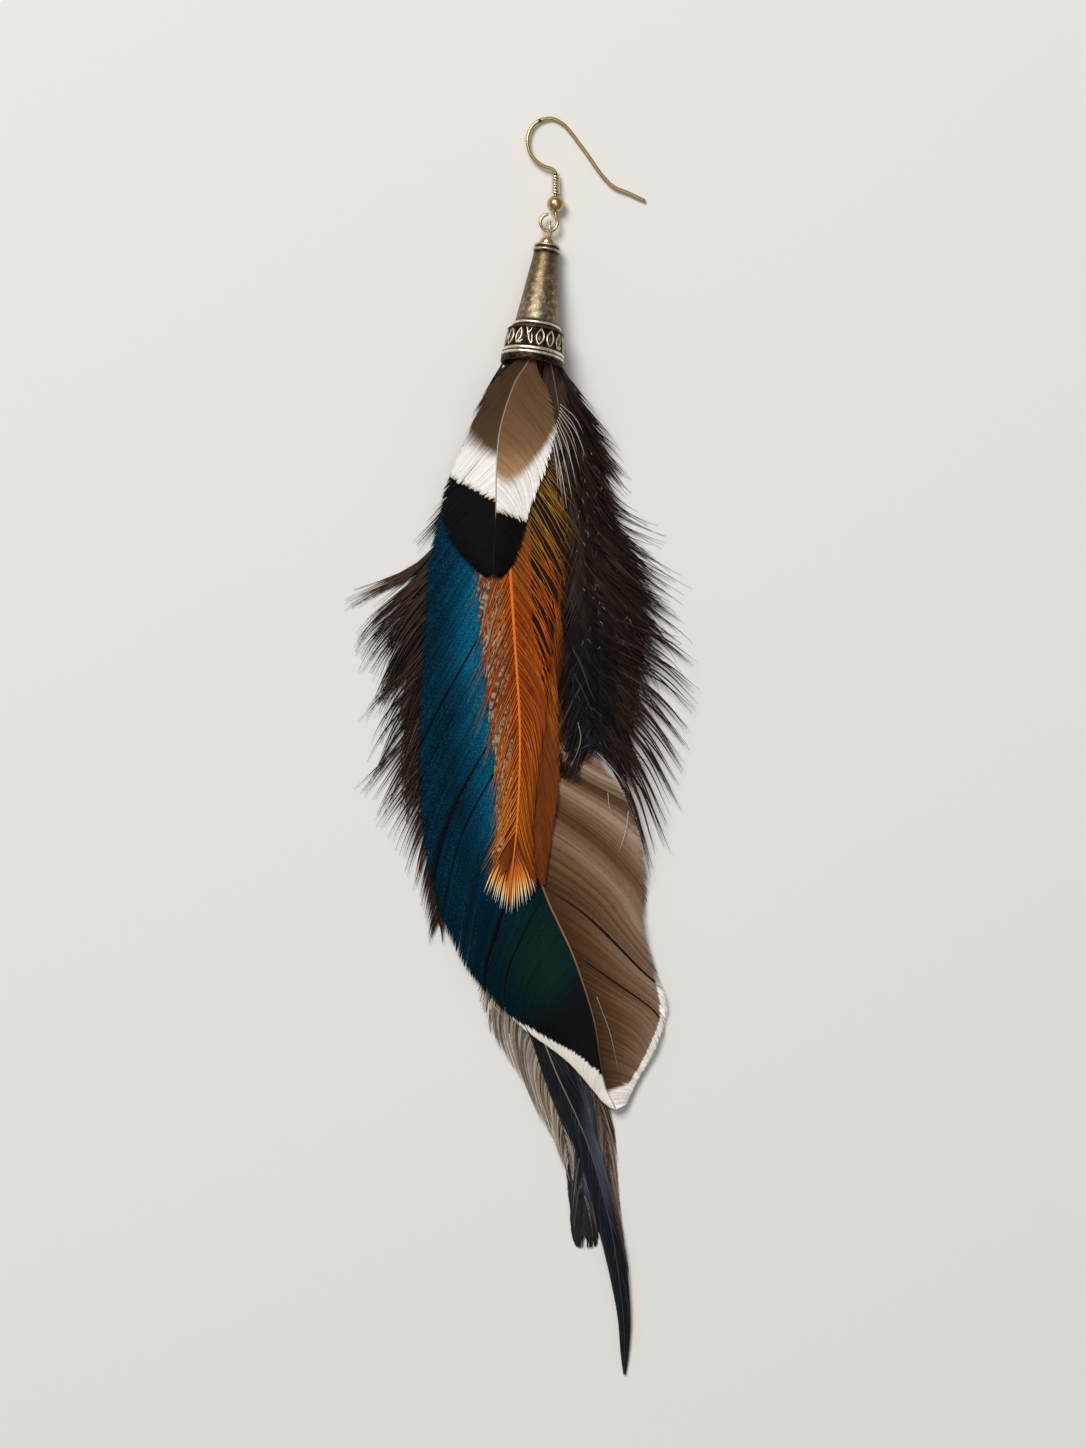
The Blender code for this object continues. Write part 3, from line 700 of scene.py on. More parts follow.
def small_grey_feather():
    feather = Feather("small_grey_vane", 12, (
        ((1.6, 68.0), (3.4, 68.0), (4.6, 68.0)),
        ((2.4, 64.5), (4.4, 64.4), (6.0, 64.2)),
        ((2.6, 59.0), (5.4, 59.0), (7.1, 59.5)),
        ((3.0, 53.9), (6.0, 53.9), (7.6, 54.7)),
        ((4.5, 48.8), (6.4, 48.8), (7.6, 49.6)),
        ((5.6, 45.1), (6.6, 45.1), (7.4, 45.4)),
        ((6.4, 42.5), (6.8, 42.5), (7.2, 42.5)),
    ), ((7.3, 7.3, 7.0), (7.3, 7.3, 6.4)), (2.2, 2.75), 0.25)
    feather.barbs(-1, 0.0, 17.0, 0.26, 9.0, steps=8, thick=0.03)
    feather.barbs(1, 0.0, 17.0, 0.26, 9.0, steps=8, ragged=0.05, thick=0.03, taper=0.5)
    tips = ((9.9, 53.0), (9.5, 51.2), (10.3, 49.0), (8.8, 49.9), (9.4, 46.4), (7.9, 47.9), (8.7, 44.2),
            (6.9, 46.0), (7.9, 42.0), (6.2, 44.0), (7.1, 40.0), (5.6, 43.6), (6.4, 41.2))
    lines = []
    for number, tip in enumerate(tips):
        start = feather.sheet.at(10.4 + 0.5 * number, 0.2 - 0.07 * number)[0] + (0.0, 0.0, 0.35)
        tip = np.array((*tip, 5.0))
        middle = start + 0.5 * (tip - start) + (0.1 * (tip[0] - 5.0), 0.3, 0.3)
        lines.append((start, middle, tip))
    feather.hairs(lines, 0.12, HAIR, taper=0.7)
    feather.rachis(1.0, 16.0, 0.14, 0.05)
    feather.build(grey_finish(feather.length), "small_grey_feather", "grey_vane")


small_grey_feather()

# %% [markdown]
# ## Hackles
# Two dyed hackles from a rooster's neck. Near the quill a hackle is webbed and rust brown. Towards
# its edge the barbs have no hooks, so they part into bright orange strands with dark gaps, and the
# tips fade to cream. The dark gaps are painted shade: a layer of barbs under the strands is painted
# near-black, and rust brown only near the tip. On the left of the front one, grey webbing shows
# between the strands.

# %% Front hackle
GREY_WEB = 0.5
STRAND = 1.0
OLIVE = 1.5
# Tone of a layer of barbs under the strands, painted near-black as painted shade.
SHADE_UNDERLAYER = 4.0


def hackle_finish(name, length, cream_from, web_low, web_high, bright):
    p = VanePaint(name, length, Specular_IOR_Level=0.08)
    down = p.along / length
    web = p.blend(p.step(p.streaks(1.5, 2.0) + 0.1, -0.3, 0.5), web_low, web_high)
    web = p.shade(web, 1 - p.step(down, 0.6, 0.9) * 0.22)
    herring = p.noise(p.vector(p.root * 4.0, p.out * 22.0, p.luck * 3.0), 1.0, 1.0)
    grey = p.blend(p.step(herring, 0.42, 0.6), (84, 54, 34), (166, 138, 108))
    strand = p.blend(p.luck, bright, (128, 54, 12))
    strand = p.blend(p.step(p.out, 0.7, 1.1) * 0.5, strand, (120, 56, 18))
    strand = p.blend(p.step(down, 0.6, 0.9) * 0.5, strand, (228, 136, 40))
    olive = p.blend(p.luck, (176, 132, 50), (104, 74, 26))
    olive = p.blend(p.step(down + p.luck * 0.1, 0.34, 0.52), olive, strand)
    shaft = p.ramp(down, (0.0, (60, 34, 18)), (0.2, (150, 76, 28)), (0.45, (222, 112, 36)),
                   (0.85, (226, 116, 34)), (1.0, (190, 96, 26)))
    # Painted shade: the underlayer is near-black down to about seven tenths of the length, then rust brown.
    under = p.blend(p.step(down, 0.7, 0.84), (26, 13, 7), (104, 48, 16))
    colour = p.bands(web, (p.is_tone(SHADE_UNDERLAYER), under), (p.is_tone(GREY_WEB), grey),
                     (p.is_tone(STRAND), strand), (p.is_tone(OLIVE), olive))
    cream = p.step(down + (p.luck - 0.5) * 0.02 + p.out * 0.012, cream_from, cream_from + 0.035)
    colour = p.blend(cream * (1 - p.is_tone(SHADE_UNDERLAYER)), colour, (240, 216, 160))
    fringe = p.ramp(down, (0.0, (140, 66, 22)), (0.4, (206, 112, 36)), (0.66, (240, 178, 92)),
                    (0.84, (250, 236, 204)))
    colour = p.bands(colour, (p.is_tone(RACHIS), shaft), (p.is_tone(HAIR), fringe))
    return p.finish(colour, 0.5, contrast=0.35)


def front_hackle():
    feather = Feather("front_hackle_vane", 13, (
        ((-0.4, 68.0), (0.4, 68.0), (1.4, 68.0)),
        ((-4.3, 55.6), (-0.9, 55.6), (4.3, 55.6)),
        ((-7.7, 42.0), (-2.5, 42.0), (7.9, 44.4)),
        ((-9.3, 30.9), (-2.6, 31.8), (8.0, 34.3)),
        ((-8.9, 18.2), (-1.8, 18.2), (6.2, 22.4)),
        ((-7.6, 5.4), (-1.0, 5.4), (4.6, 9.7)),
        ((-6.2, -4.8), (-1.0, -4.8), (2.6, -3.1)),
        ((-6.0, -14.1), (-1.5, -14.1), (1.3, -14.1)),
        ((-6.9, -23.5), (-2.5, -23.5), (2.0, -24.3)),
        ((-4.0, -28.2), (-2.6, -28.2), (-1.4, -28.2)),
    ), ((6.3, 6.3, 6.3), (5.7, 6.3, 6.3), (5.4, 6.3, 6.3), (4.6, 5.0, 5.7)), (-0.4, 2.4), 0.3)
    end = feather.length - 0.5
    sweep = ((0, 15.0), (30, 18.0), (50, 21.0), (75, 18.0), (90, 10.0), (97, 4.0))
    right_sweep = ((0, 20.0), (25, 24.0), (50, 22.0), (75, 17.0), (90, 9.0), (97, 4.0))
    steep = dict(bend=0.9)
    flat = dict(thick=0.03, tilt=0.05, **steep)
    for side, run, reach in ((-1, sweep, 0.74), (1, right_sweep, 0.85)):
        feather.barbs(side, 2.0, end - 9, 0.5, run, tone=SHADE_UNDERLAYER, reach=reach, steps=8, rise=-0.2, **flat)
    feather.barbs(-1, 16.0, 76.0, 0.3, sweep, tone=GREY_WEB, reach=0.78, steps=10, rise=-0.05, ragged=0.04,
                  taper=0.8, **flat)
    feather.barbs(-1, 2.0, end - 12, 0.32, sweep, reach=0.2, steps=6, rise=0.02, **flat)
    web_reach = ((0, 0.3), (32, 0.36), (50, 0.85), (65, 0.97), (97, 0.9))
    feather.barbs(1, 2.0, end - 12, 0.3, right_sweep, reach=web_reach, steps=9, **flat)
    loose = dict(steps=13, web=0.8, widest=0.3, taper=0.4, ragged=0.07, pinch=0.8, thick=0.09, rise=0.08,
                 uneven=0.14, smooth_faces=True, **steep)
    uneven = dict(loose, tone=STRAND, clump=2.4, uneven=0.25, taper=0.3)
    olive = dict(loose, tone=OLIVE, clump=1.0, widest=0.2, taper=0.6, pinch=0.5)
    fine = dict(loose, tone=STRAND, clump=1.6, widest=0.22)
    feather.barbs(-1, 16.0, end - 14, 0.85, sweep, **uneven)
    feather.barbs(1, 4.0, 50.0, 0.5, right_sweep, **olive)
    feather.barbs(1, 50.0, end - 14, 0.95, right_sweep, **fine)
    feather.rachis(1.0, end - 0.5, 0.44, 0.14)
    fringe = []
    for share in np.linspace(-1, 1, 25):
        tip = np.array((-2.5 + 4.5 * share + feather.chance.normal(0, 0.08),
                        -28.3 + 3.9 * abs(share) ** 1.3 + feather.chance.normal(0, 0.3), 3.3 + 0.3 * share))
        root = np.array((-2.1 + 0.5 * share, tip[1] + 9.5 - 1.5 * abs(share), 3.55 + 0.15 * share))
        bow = root + (tip - root) * 0.5 + (0.5 * share, 0.0, 0.05)
        fringe.append((root, bow, tip))
    feather.hairs(fringe, 0.33, HAIR, taper=0.6)
    finish = hackle_finish("front_hackle_vane", feather.length, 1.2, (98, 40, 10), (140, 64, 18),
                           (216, 106, 22))
    feather.build(finish, "front_hackle", "rust_vane")


front_hackle()


# %% Back hackle
def back_hackle():
    feather = Feather("back_hackle_vane", 14, (
        ((1.6, 68.0), (2.2, 68.0), (2.8, 68.0)),
        ((0.4, 53.9), (3.5, 53.9), (6.2, 53.9)),
        ((-0.9, 40.3), (3.5, 40.3), (8.2, 39.4)),
        ((-1.8, 25.0), (2.6, 25.0), (6.9, 25.0)),
        ((-2.3, 9.7), (2.1, 9.7), (5.9, 9.7)),
        ((-2.0, -3.1), (2.1, -3.1), (6.0, -2.2)),
        ((-0.6, -13.3), (2.6, -12.4), (5.0, -11.6)),
        ((1.4, -19.6), (3.0, -19.6), (3.9, -19.2)),
        ((2.6, -23.6), (3.0, -23.6), (3.4, -23.6)),
    ), ((5.3, 5.3, 5.3), (5.3, 5.3, 5.3), (4.7, 4.7, 4.7)), (1.6, 1.6), 0.25)
    end = feather.length - 0.4
    sweep = ((0, 20.0), (30, 24.0), (60, 19.0), (80, 12.0), (91, 5.0))
    flat = dict(thick=0.03, tilt=0.05, bend=0.9)
    feather.barbs(-1, 2.0, end, 0.36, sweep, steps=9, **flat)
    feather.barbs(1, 2.0, 40.0, 0.5, sweep, steps=8, tone=SHADE_UNDERLAYER, **flat)
    feather.barbs(1, 40.0, end, 0.32, sweep, steps=11, reach=((0, 0.8), (50, 0.9), (60, 1.0), (91, 1.0)),
                  ragged=0.03, **flat)
    feather.barbs(1, 6.0, 56.0, 0.5, sweep, tone=OLIVE, steps=12, web=0.6, widest=0.2, taper=0.5,
                  ragged=0.06, clump=1.6, pinch=0.8, rise=0.08, bend=0.9, uneven=0.14, smooth_faces=True)
    feather.rachis(1.0, end, 0.3, 0.07, sink=0.4)
    finish = hackle_finish("back_hackle_vane", feather.length, 1.2, (96, 42, 12), (136, 68, 22),
                           (206, 112, 32))
    feather.build(finish, "back_hackle", "rust_vane")


back_hackle()

# %% [markdown]
# ## Speculum feather
# The largest feather comes from a duck's wing mirror. Its left vane is iridescent blue that turns
# to teal, to dark green and to black, and its right vane is taupe and wavy. Both end in white. The
# blue is not a pigment, so the left vane gets some metallic value, and fine mottling, because each
# barbule shines at its own angle; that mottling and a few brighter patches are painted sheen. The
# waves of the right vane are real: they lift whole barbs. Their crests are also painted lighter and
# their valleys darker, as painted light and shade, and the split lines are painted dark as painted
# shade.

# %% Speculum feather
WAVES = ((52.0, 1.6, 0.3), (57.0, 2.0, 0.8), (62.0, 1.8, -0.9), (67.0, 2.4, 0.7), (73.5, 2.0, -0.8),
         (79.0, 2.8, 0.6), (87.0, 2.5, -0.5), (95.0, 3.0, 0.3), (102.0, 3.0, -0.4), (110.0, 4.0, 0.3))
LEFT_SPLITS = ((24.0, 0.2, 0.9), (29.0, 0.05, 0.6), (34.0, 0.15, 0.9), (41.0, 0.05, 0.6), (46.0, 0.3, 1.2),
               (54.0, 0.05, 0.6), (61.0, 0.3, 1.2), (67.0, 0.05, 0.6), (74.0, 0.2, 0.9), (80.0, 0.05, 0.6),
               (86.0, 0.35, 1.2), (93.0, 0.3, 1.0), (100.0, 0.25, 1.0), (106.0, 0.1, 0.8))
RIGHT_SPLITS = ((89.8, 0.06, 0.5), (91.8, 0.16, 1.0), (104.0, 0.0, 0.4))
BORDER_START = (-3.3, -45.7)
BORDER_ALONG = (0.754, -0.657)


def wing_waves(root, share):
    lift = sum(height * np.exp(-((root - place) / width) ** 2) for place, width, height in WAVES)
    return lift * 1.25 * smooth(share * 1.2)


def speculum_finish(length):
    p = VanePaint("speculum_vane", length, Specular_IOR_Level=0.05)
    mottle = p.noise(p.vector(p.x * 3.6, p.y * 3.6, p.z), 1.0, 3.0, 0.7)
    patch = p.noise(p.vector(p.x * 0.22, p.y * 0.12), 1.0, 2.0)
    # Painted sheen: brighter patches and mottling where the blue catches the light.
    painted_sheen = p.spot(-7.5, 20.0, 8.0, 34.0) * 0.6 + p.spot(-5.0, -8.0, 6.5, 24.0) * 0.45 + 0.12
    painted_sheen = painted_sheen + (patch - 0.5) * 0.4 + (mottle - 0.5) * 1.5 + (p.luck - 0.5) * 0.12
    blue = p.ramp(painted_sheen, (0.0, (2, 32, 44)), (0.3, (2, 62, 86)), (0.6, (4, 94, 126)),
                  (1.0, (30, 150, 184)))
    # The blue is made darker towards the tip and the right.
    darker_towards_tip = p.step(p.x * 0.4 - p.y, 8.0, 40.0) * 0.65
    blue = p.blend(darker_towards_tip, blue, (2, 34, 44))
    blue = p.shade(blue, 0.53)
    green = p.spot(3.0, -36.0, 10.0, 15.0)
    blue = p.blend(green, blue, p.blend(mottle, (6, 22, 16), (16, 46, 30)))
    black = p.step(p.x * 0.62 - p.y * 0.78 + mottle * 1.5, 34.0, 41.0)
    left = p.blend(black, blue, (9, 8, 9))
    streak = p.streaks(1.8, 1.2, 3.0)
    # Painted light and shade on the waves: lighter on their crests, darker in their valleys.
    painted_fold_shading = 0
    for place, width, height in WAVES:
        away = abs(p.root - place) / (width * 1.6)
        painted_fold_shading = painted_fold_shading + (1 - p.step(away, 0.0, 1.0)) * height
    low = p.step(p.root, 78.0, 98.0)
    shade_wave = painted_fold_shading * p.step(p.out, 0.0, 0.5) * (0.34 - low * 0.2)
    taupe = p.ramp(0.38 + streak * 0.4 + shade_wave + p.out * 0.3 - low * (0.3 - p.out * 0.42),
                   (0.0, (42, 25, 13)), (0.3, (85, 58, 36)), (0.6, (118, 91, 68)),
                   (1.0, (154, 130, 108)))
    tooth = (p.luck - 0.5) * 0.35 + streak * 0.9
    edge_x = p.x - BORDER_START[0]
    edge_y = p.y - BORDER_START[1]
    down = edge_x * BORDER_ALONG[0] + edge_y * BORDER_ALONG[1]
    inside = edge_x * -BORDER_ALONG[1] + edge_y * BORDER_ALONG[0]
    reach = p.x.maths("MINIMUM", down * 0.21 + 0.1, 3.1)
    left_white = p.step(reach - inside + tooth, -0.2, 0.2) * p.step(down, 0.0, 1.0)
    from_tip = length - p.along
    tip = 1 - p.step(from_tip + tooth, 3.0, 3.9)
    last_fifth = p.along / length - 0.80
    rim = p.step(last_fifth * 9.0, 0.0, 0.5)
    right_white = p.step(last_fifth * 5.0 + 0.75 - p.margin + tooth * 0.6, -0.2, 0.2) * rim
    # Painted shade: dark lines along the barbs where the vanes have split.
    lines = 0
    for side, places in ((p.left, LEFT_SPLITS), (p.right, RIGHT_SPLITS)):
        for place, gap, _ in places:
            near = 1 - p.step(abs(p.root - place), 0.05, 0.1 + gap * 0.2)
            lines = lines + near * side * p.step(p.out, 0.0, 0.2)
    left = p.blend(lines, left, (8, 8, 9))
    taupe = p.blend(lines, taupe, (20, 15, 12))
    left = p.blend(left_white, left, (224, 215, 202))
    right = p.blend(right_white, taupe, (240, 233, 222))
    colour = p.blend(p.right, left, right)
    colour = p.blend(tip, colour, (240, 233, 222))
    shaft = p.ramp(p.along / length, (0.0, (40, 30, 24)), (0.6, (96, 68, 46)), (0.75, (150, 106, 70)),
                   (0.88, (110, 82, 60)), (0.95, (56, 44, 36)), (1.0, (226, 216, 200)))
    colour = p.bands(colour, (p.is_tone(RACHIS), shaft), (p.is_tone(HAIR), (206, 190, 170)))
    metal = p.left * (1 - left_white) * (1 - black) * (1 - p.is_tone(RACHIS)) * (1 - tip) * 0.55
    p.feed(Metallic=metal)
    return p.finish(colour, 0.5, contrast=0.2 + p.right * 0.25)


def speculum_feather():
    feather = Feather("speculum_vane", 15, (
        ((0.4, 67.0), (0.8, 67.0), (1.2, 67.0)),
        ((-4.3, 57.3), (-0.3, 57.3), (3.3, 57.3)),
        ((-11.5, 47.1), (-2.0, 47.1), (5.2, 47.1)),
        ((-16.1, 34.5), (-2.8, 34.3), (6.9, 34.3)),
        ((-17.4, 18.2), (-3.0, 18.2), (7.9, 18.2)),
        ((-18.3, 2.9), (-2.3, 2.9), (10.6, 1.2)),
        ((-17.8, -13.3), (-0.6, -13.3), (18.1, -9.9)),
        ((-14.9, -28.1), (3.3, -24.8), (20.7, -23.6)),
        ((-12.3, -33.8), (5.8, -30.4), (20.0, -30.0)),
        ((-9.4, -38.8), (8.4, -36.2), (22.0, -37.2)),
        ((-1.8, -46.8), (11.6, -46.2), (24.1, -44.7)),
        ((6.7, -53.2), (12.7, -53.2), (22.0, -51.8)),
        ((11.3, -58.2), (13.6, -58.0), (19.6, -56.0)),
        ((12.8, -60.1), (14.9, -60.4), (18.1, -58.9)),
        ((14.0, -61.2), (15.4, -61.7), (17.2, -60.8)),
    ), ((3.2, 3.2, 3.2), (2.0, 3.2, 3.0), (2.0, 3.2, 2.6), (2.2, 3.2, 1.6), (3.0, 3.2, 1.6),
        (2.4, 2.4, 1.8)), (0.0, 0.6), 0.5)
    end = feather.length - 0.3
    left_sweep = ((0, 12.0), (20, 22.0), (50, 36.0), (80, 36.0), (100, 27.0), (120, 8.0), (131, 2.0))
    right_sweep = ((0, 10.0), (40, 16.0), (60, 24.0), (75, 27.0), (90, 27.0), (105, 22.0), (120, 10.0),
                   (131, 2.0))
    web = dict(web=1.35, bend=0.75, thick=0.026, tilt=0.05, ragged=0.006, taper=0.97)
    feather.barbs(-1, 3.0, end, 0.32, left_sweep, steps=20, splits=LEFT_SPLITS, **dict(web, ragged=0.003))
    feather.barbs(1, 3.0, 40.0, 0.5, right_sweep, steps=8, **web)
    feather.barbs(1, 40.0, end, 0.32, right_sweep, steps=16, splits=RIGHT_SPLITS, ripple=wing_waves, **web)
    beside_quill = feather.sheet.at(np.array((112.0, 119.0, 126.0)), np.array((0.12, 0.2, 0.36)))[0]
    loose = [((14.0, -7.8, 3.3), (14.2, -9.8, 3.3), (14.8, -11.6, 3.1)),
             ((17.5, -11.0, 3.2), (17.0, -14.4, 3.1), (15.8, -18.0, 3.0)),
             ((12.2, -1.0, 3.2), (15.0, -3.9, 3.1), (17.6, -7.4, 3.0)),
             ((-5.9, -43.4, 2.9), (-4.6, -44.9, 2.8), (-3.5, -46.0, 2.7))]
    feather.hairs(loose, 0.13, HAIR)
    feather.hairs((tuple(beside_quill + (0.0, 0.0, 0.15)),), 0.07, HAIR)
    feather.rachis(1.0, end, 0.42, 0.1)
    feather.build(speculum_finish(feather.length), "speculum_feather", "blue_vane")


speculum_feather()

# %% [markdown]
# ## Plumes
# Two brown-black plumes stand out at the sides. Their barbs have no hooks at all: they are long
# silky strands that gather in tufts, so each side of the quill gets several layers of loose
# strands, and the strands of one tuft lean together at their tips. Every tuft is painted a little
# lighter or darker than the next one, as painted light: tufts catch the light, each at its own
# slope. Streaks of painted sheen run along the strands. The dense part of the right plume ends in
# a notch over the quill, so its outline has a swallow's tail.

# %% Plume finish
TUFT_CONTRAST = 4.5


def plume_finish(name, length, warm, cool, cool_spot, edge):
    p = VanePaint(name, length, Specular_IOR_Level=0.14)
    base = p.blend(p.spot(*cool_spot), warm, cool)
    base = p.blend(p.step(p.out + (p.luck - 0.5) * 0.3, 0.5, 1.1) * 0.85, base, edge)
    # Painted sheen: lighter streaks along the strands.
    sheen_streaks = p.noise(p.vector(p.root * 0.9, p.out * 1.5, 0.0), 1.0, 2.0)
    base = p.shade(base, 0.6 + p.step(sheen_streaks, 0.35, 0.7) * 0.9)
    # Painted light: each tuft lighter or darker, as if it caught the light at its own slope.
    base = p.shade(base, 1 + p.tone * TUFT_CONTRAST * (1 - p.is_tone(HAIR)))
    light = p.step(p.luck, 0.93, 1.0) * 0.25
    colour = p.blend(light, base, (126, 100, 78))
    colour = p.blend(p.is_tone(HAIR), colour, p.blend(p.luck, (78, 58, 44), (176, 158, 140)))
    return p.finish(colour, 0.5, contrast=0.5)


# %% Right plume
PLUME_TIPS = ((28.8, 14.0), (28.6, 9.8), (28.2, 6.4), (28.0, 3.2), (27.4, 0.2), (26.8, -3.2), (26.2, -5.6),
              (25.4, -8.4), (24.4, -10.8), (23.6, -13.0), (23.4, -16.0), (22.6, -18.6), (21.8, -21.4))


def plume_fringe(chance):
    """Single curved strands at the lower right, from the body of the plume to the measured tips."""
    lines = []
    for number, tip in enumerate(PLUME_TIPS * 4):
        tip = np.array((*tip, 1.2)) + chance.normal(0, 0.7, 3) * (1, 1, 0.4)
        root = np.array((12.4, tip[1] * 0.6 + 14.0, 2.9)) + chance.normal(0, 0.8, 3) * (1, 1, 0)
        bow = root + (tip - root) * 0.55 + np.array((0.9, 0.9, 0.1))
        lines.append((root, bow, tip))
    return lines


def plume_curls(chance):
    """Tiny pale curls of down on the upper part of the plume."""
    lines = []
    for _ in range(50):
        down = chance.uniform(0, 1)
        start = np.array((8.2 + chance.uniform(0, 1) * (3.5 + 7 * down), 51.0 - 34.0 * down, 4.6))
        angle = chance.uniform(-0.9, 0.9)
        run = np.array((math.sin(angle), -math.cos(angle), 0.0)) * chance.uniform(0.5, 1.2)
        lines.append((start, start + run * 0.5 + (0.15, 0.0, 0.1), start + run))
    return lines


def right_plume():
    feather = Feather("right_plume_strands", 16, (
        ((4.6, 68.0), (5.0, 68.0), (5.4, 68.0)),
        ((5.2, 59.0), (6.8, 59.0), (10.4, 60.2)),
        ((5.2, 50.5), (8.2, 50.5), (14.6, 52.6)),
        ((5.0, 40.3), (9.4, 40.3), (16.4, 42.0)),
        ((4.5, 30.1), (10.4, 30.1), (21.4, 32.6)),
        ((4.2, 19.9), (11.1, 19.9), (24.6, 21.5)),
        ((4.3, 9.7), (11.5, 11.0), (22.4, 12.6)),
        ((4.6, 0.6), (11.7, 4.6), (19.8, 2.6)),
        ((5.5, -8.0), (11.8, -0.8), (18.8, -8.2)),
    ), ((4.3, 4.3, 3.0), (4.3, 4.3, 0.0), (4.3, 4.3, 0.0), (4.0, 3.6, 2.4)), (3.2, 0.8), 0.2)
    last = feather.length - 1.0
    sweep = ((0, 12.0), (25, 19.0), (44, 21.0), (54, 16.0), (62, 7.0), (69, 2.0))
    left_sweep = ((0, 12.0), (25, 19.0), (44, 21.0), (54, 13.0), (60, 6.0), (66, 3.0))
    under = dict(steps=12, web=1.4, widest=0.8, taper=0.6, ragged=0.1, thick=0.06, clump=2.5, pinch=0.5,
                 bend=1.05)
    lobes = ((0, 0.72), (52, 0.72), (64, 0.95))
    for side in (-1, 1):
        feather.barbs(side, 1.0, last, 0.45, sweep, reach=lobes, rise=-0.2, **under)
    loose = dict(steps=14, web=1.1, widest=0.28, taper=0.55, ragged=0.09, thick=0.1, bend=1.15, uneven=0.2,
                 smooth_faces=True)
    for layer in range(2):
        tufts = dict(clump=3.4 - 1.2 * layer, pinch=0.92, lift=0.4, rise=0.1 + 0.35 * layer, **loose)
        feather.barbs(1, 1.0, last, 0.26, sweep, reach=1.0 - 0.25 * layer, curl=0.4, wave=0.9, **tufts)
        feather.barbs(-1, 1.0, last - 4.0, 0.27, left_sweep, reach=0.98 - 0.3 * layer, wave=0.5, **tufts)
    short = dict(clump=1.6, pinch=0.95, lift=0.4, rise=0.7, wave=1.1, **dict(loose, steps=12))
    for inner, reach in ((-0.5, 0.1), (-0.2, 0.4), (0.1, 0.7)):
        feather.barbs(1, 1.0, last, 0.4, 13.0, inner=inner, reach=reach, **short)
    feather.barbs(-1, 1.0, last, 0.4, 14.0, inner=0.1, reach=0.75, **short)
    single = dict(loose, widest=0.26, taper=0.45, bend=0.95)
    feather.barbs(1, 14.0, 46.0, 0.9, sweep, reach=1.14, clump=1.6, pinch=0.5, **single)
    feather.hairs(plume_fringe(feather.chance), 0.28, 0.0, taper=0.5)
    feather.hairs(plume_curls(feather.chance), 0.08, HAIR, taper=0.4, steps=6)
    feather.hairs((((8.9, 4.2, 3.9), (9.4, 1.6, 4.0), (8.8, -0.9, 3.7), (7.3, -4.0, 3.1)),), 0.15, HAIR)
    feather.rachis(1.0, 40.0, 0.26, 0.08, tone=0.0, sink=0.5)
    finish = plume_finish("right_plume_strands", feather.length, (40, 28, 20), (14, 16, 22),
                          (10.5, 7.0, 9.0, 25.0), (52, 33, 21))
    feather.build(finish, "right_plume", "dark_plume")


right_plume()


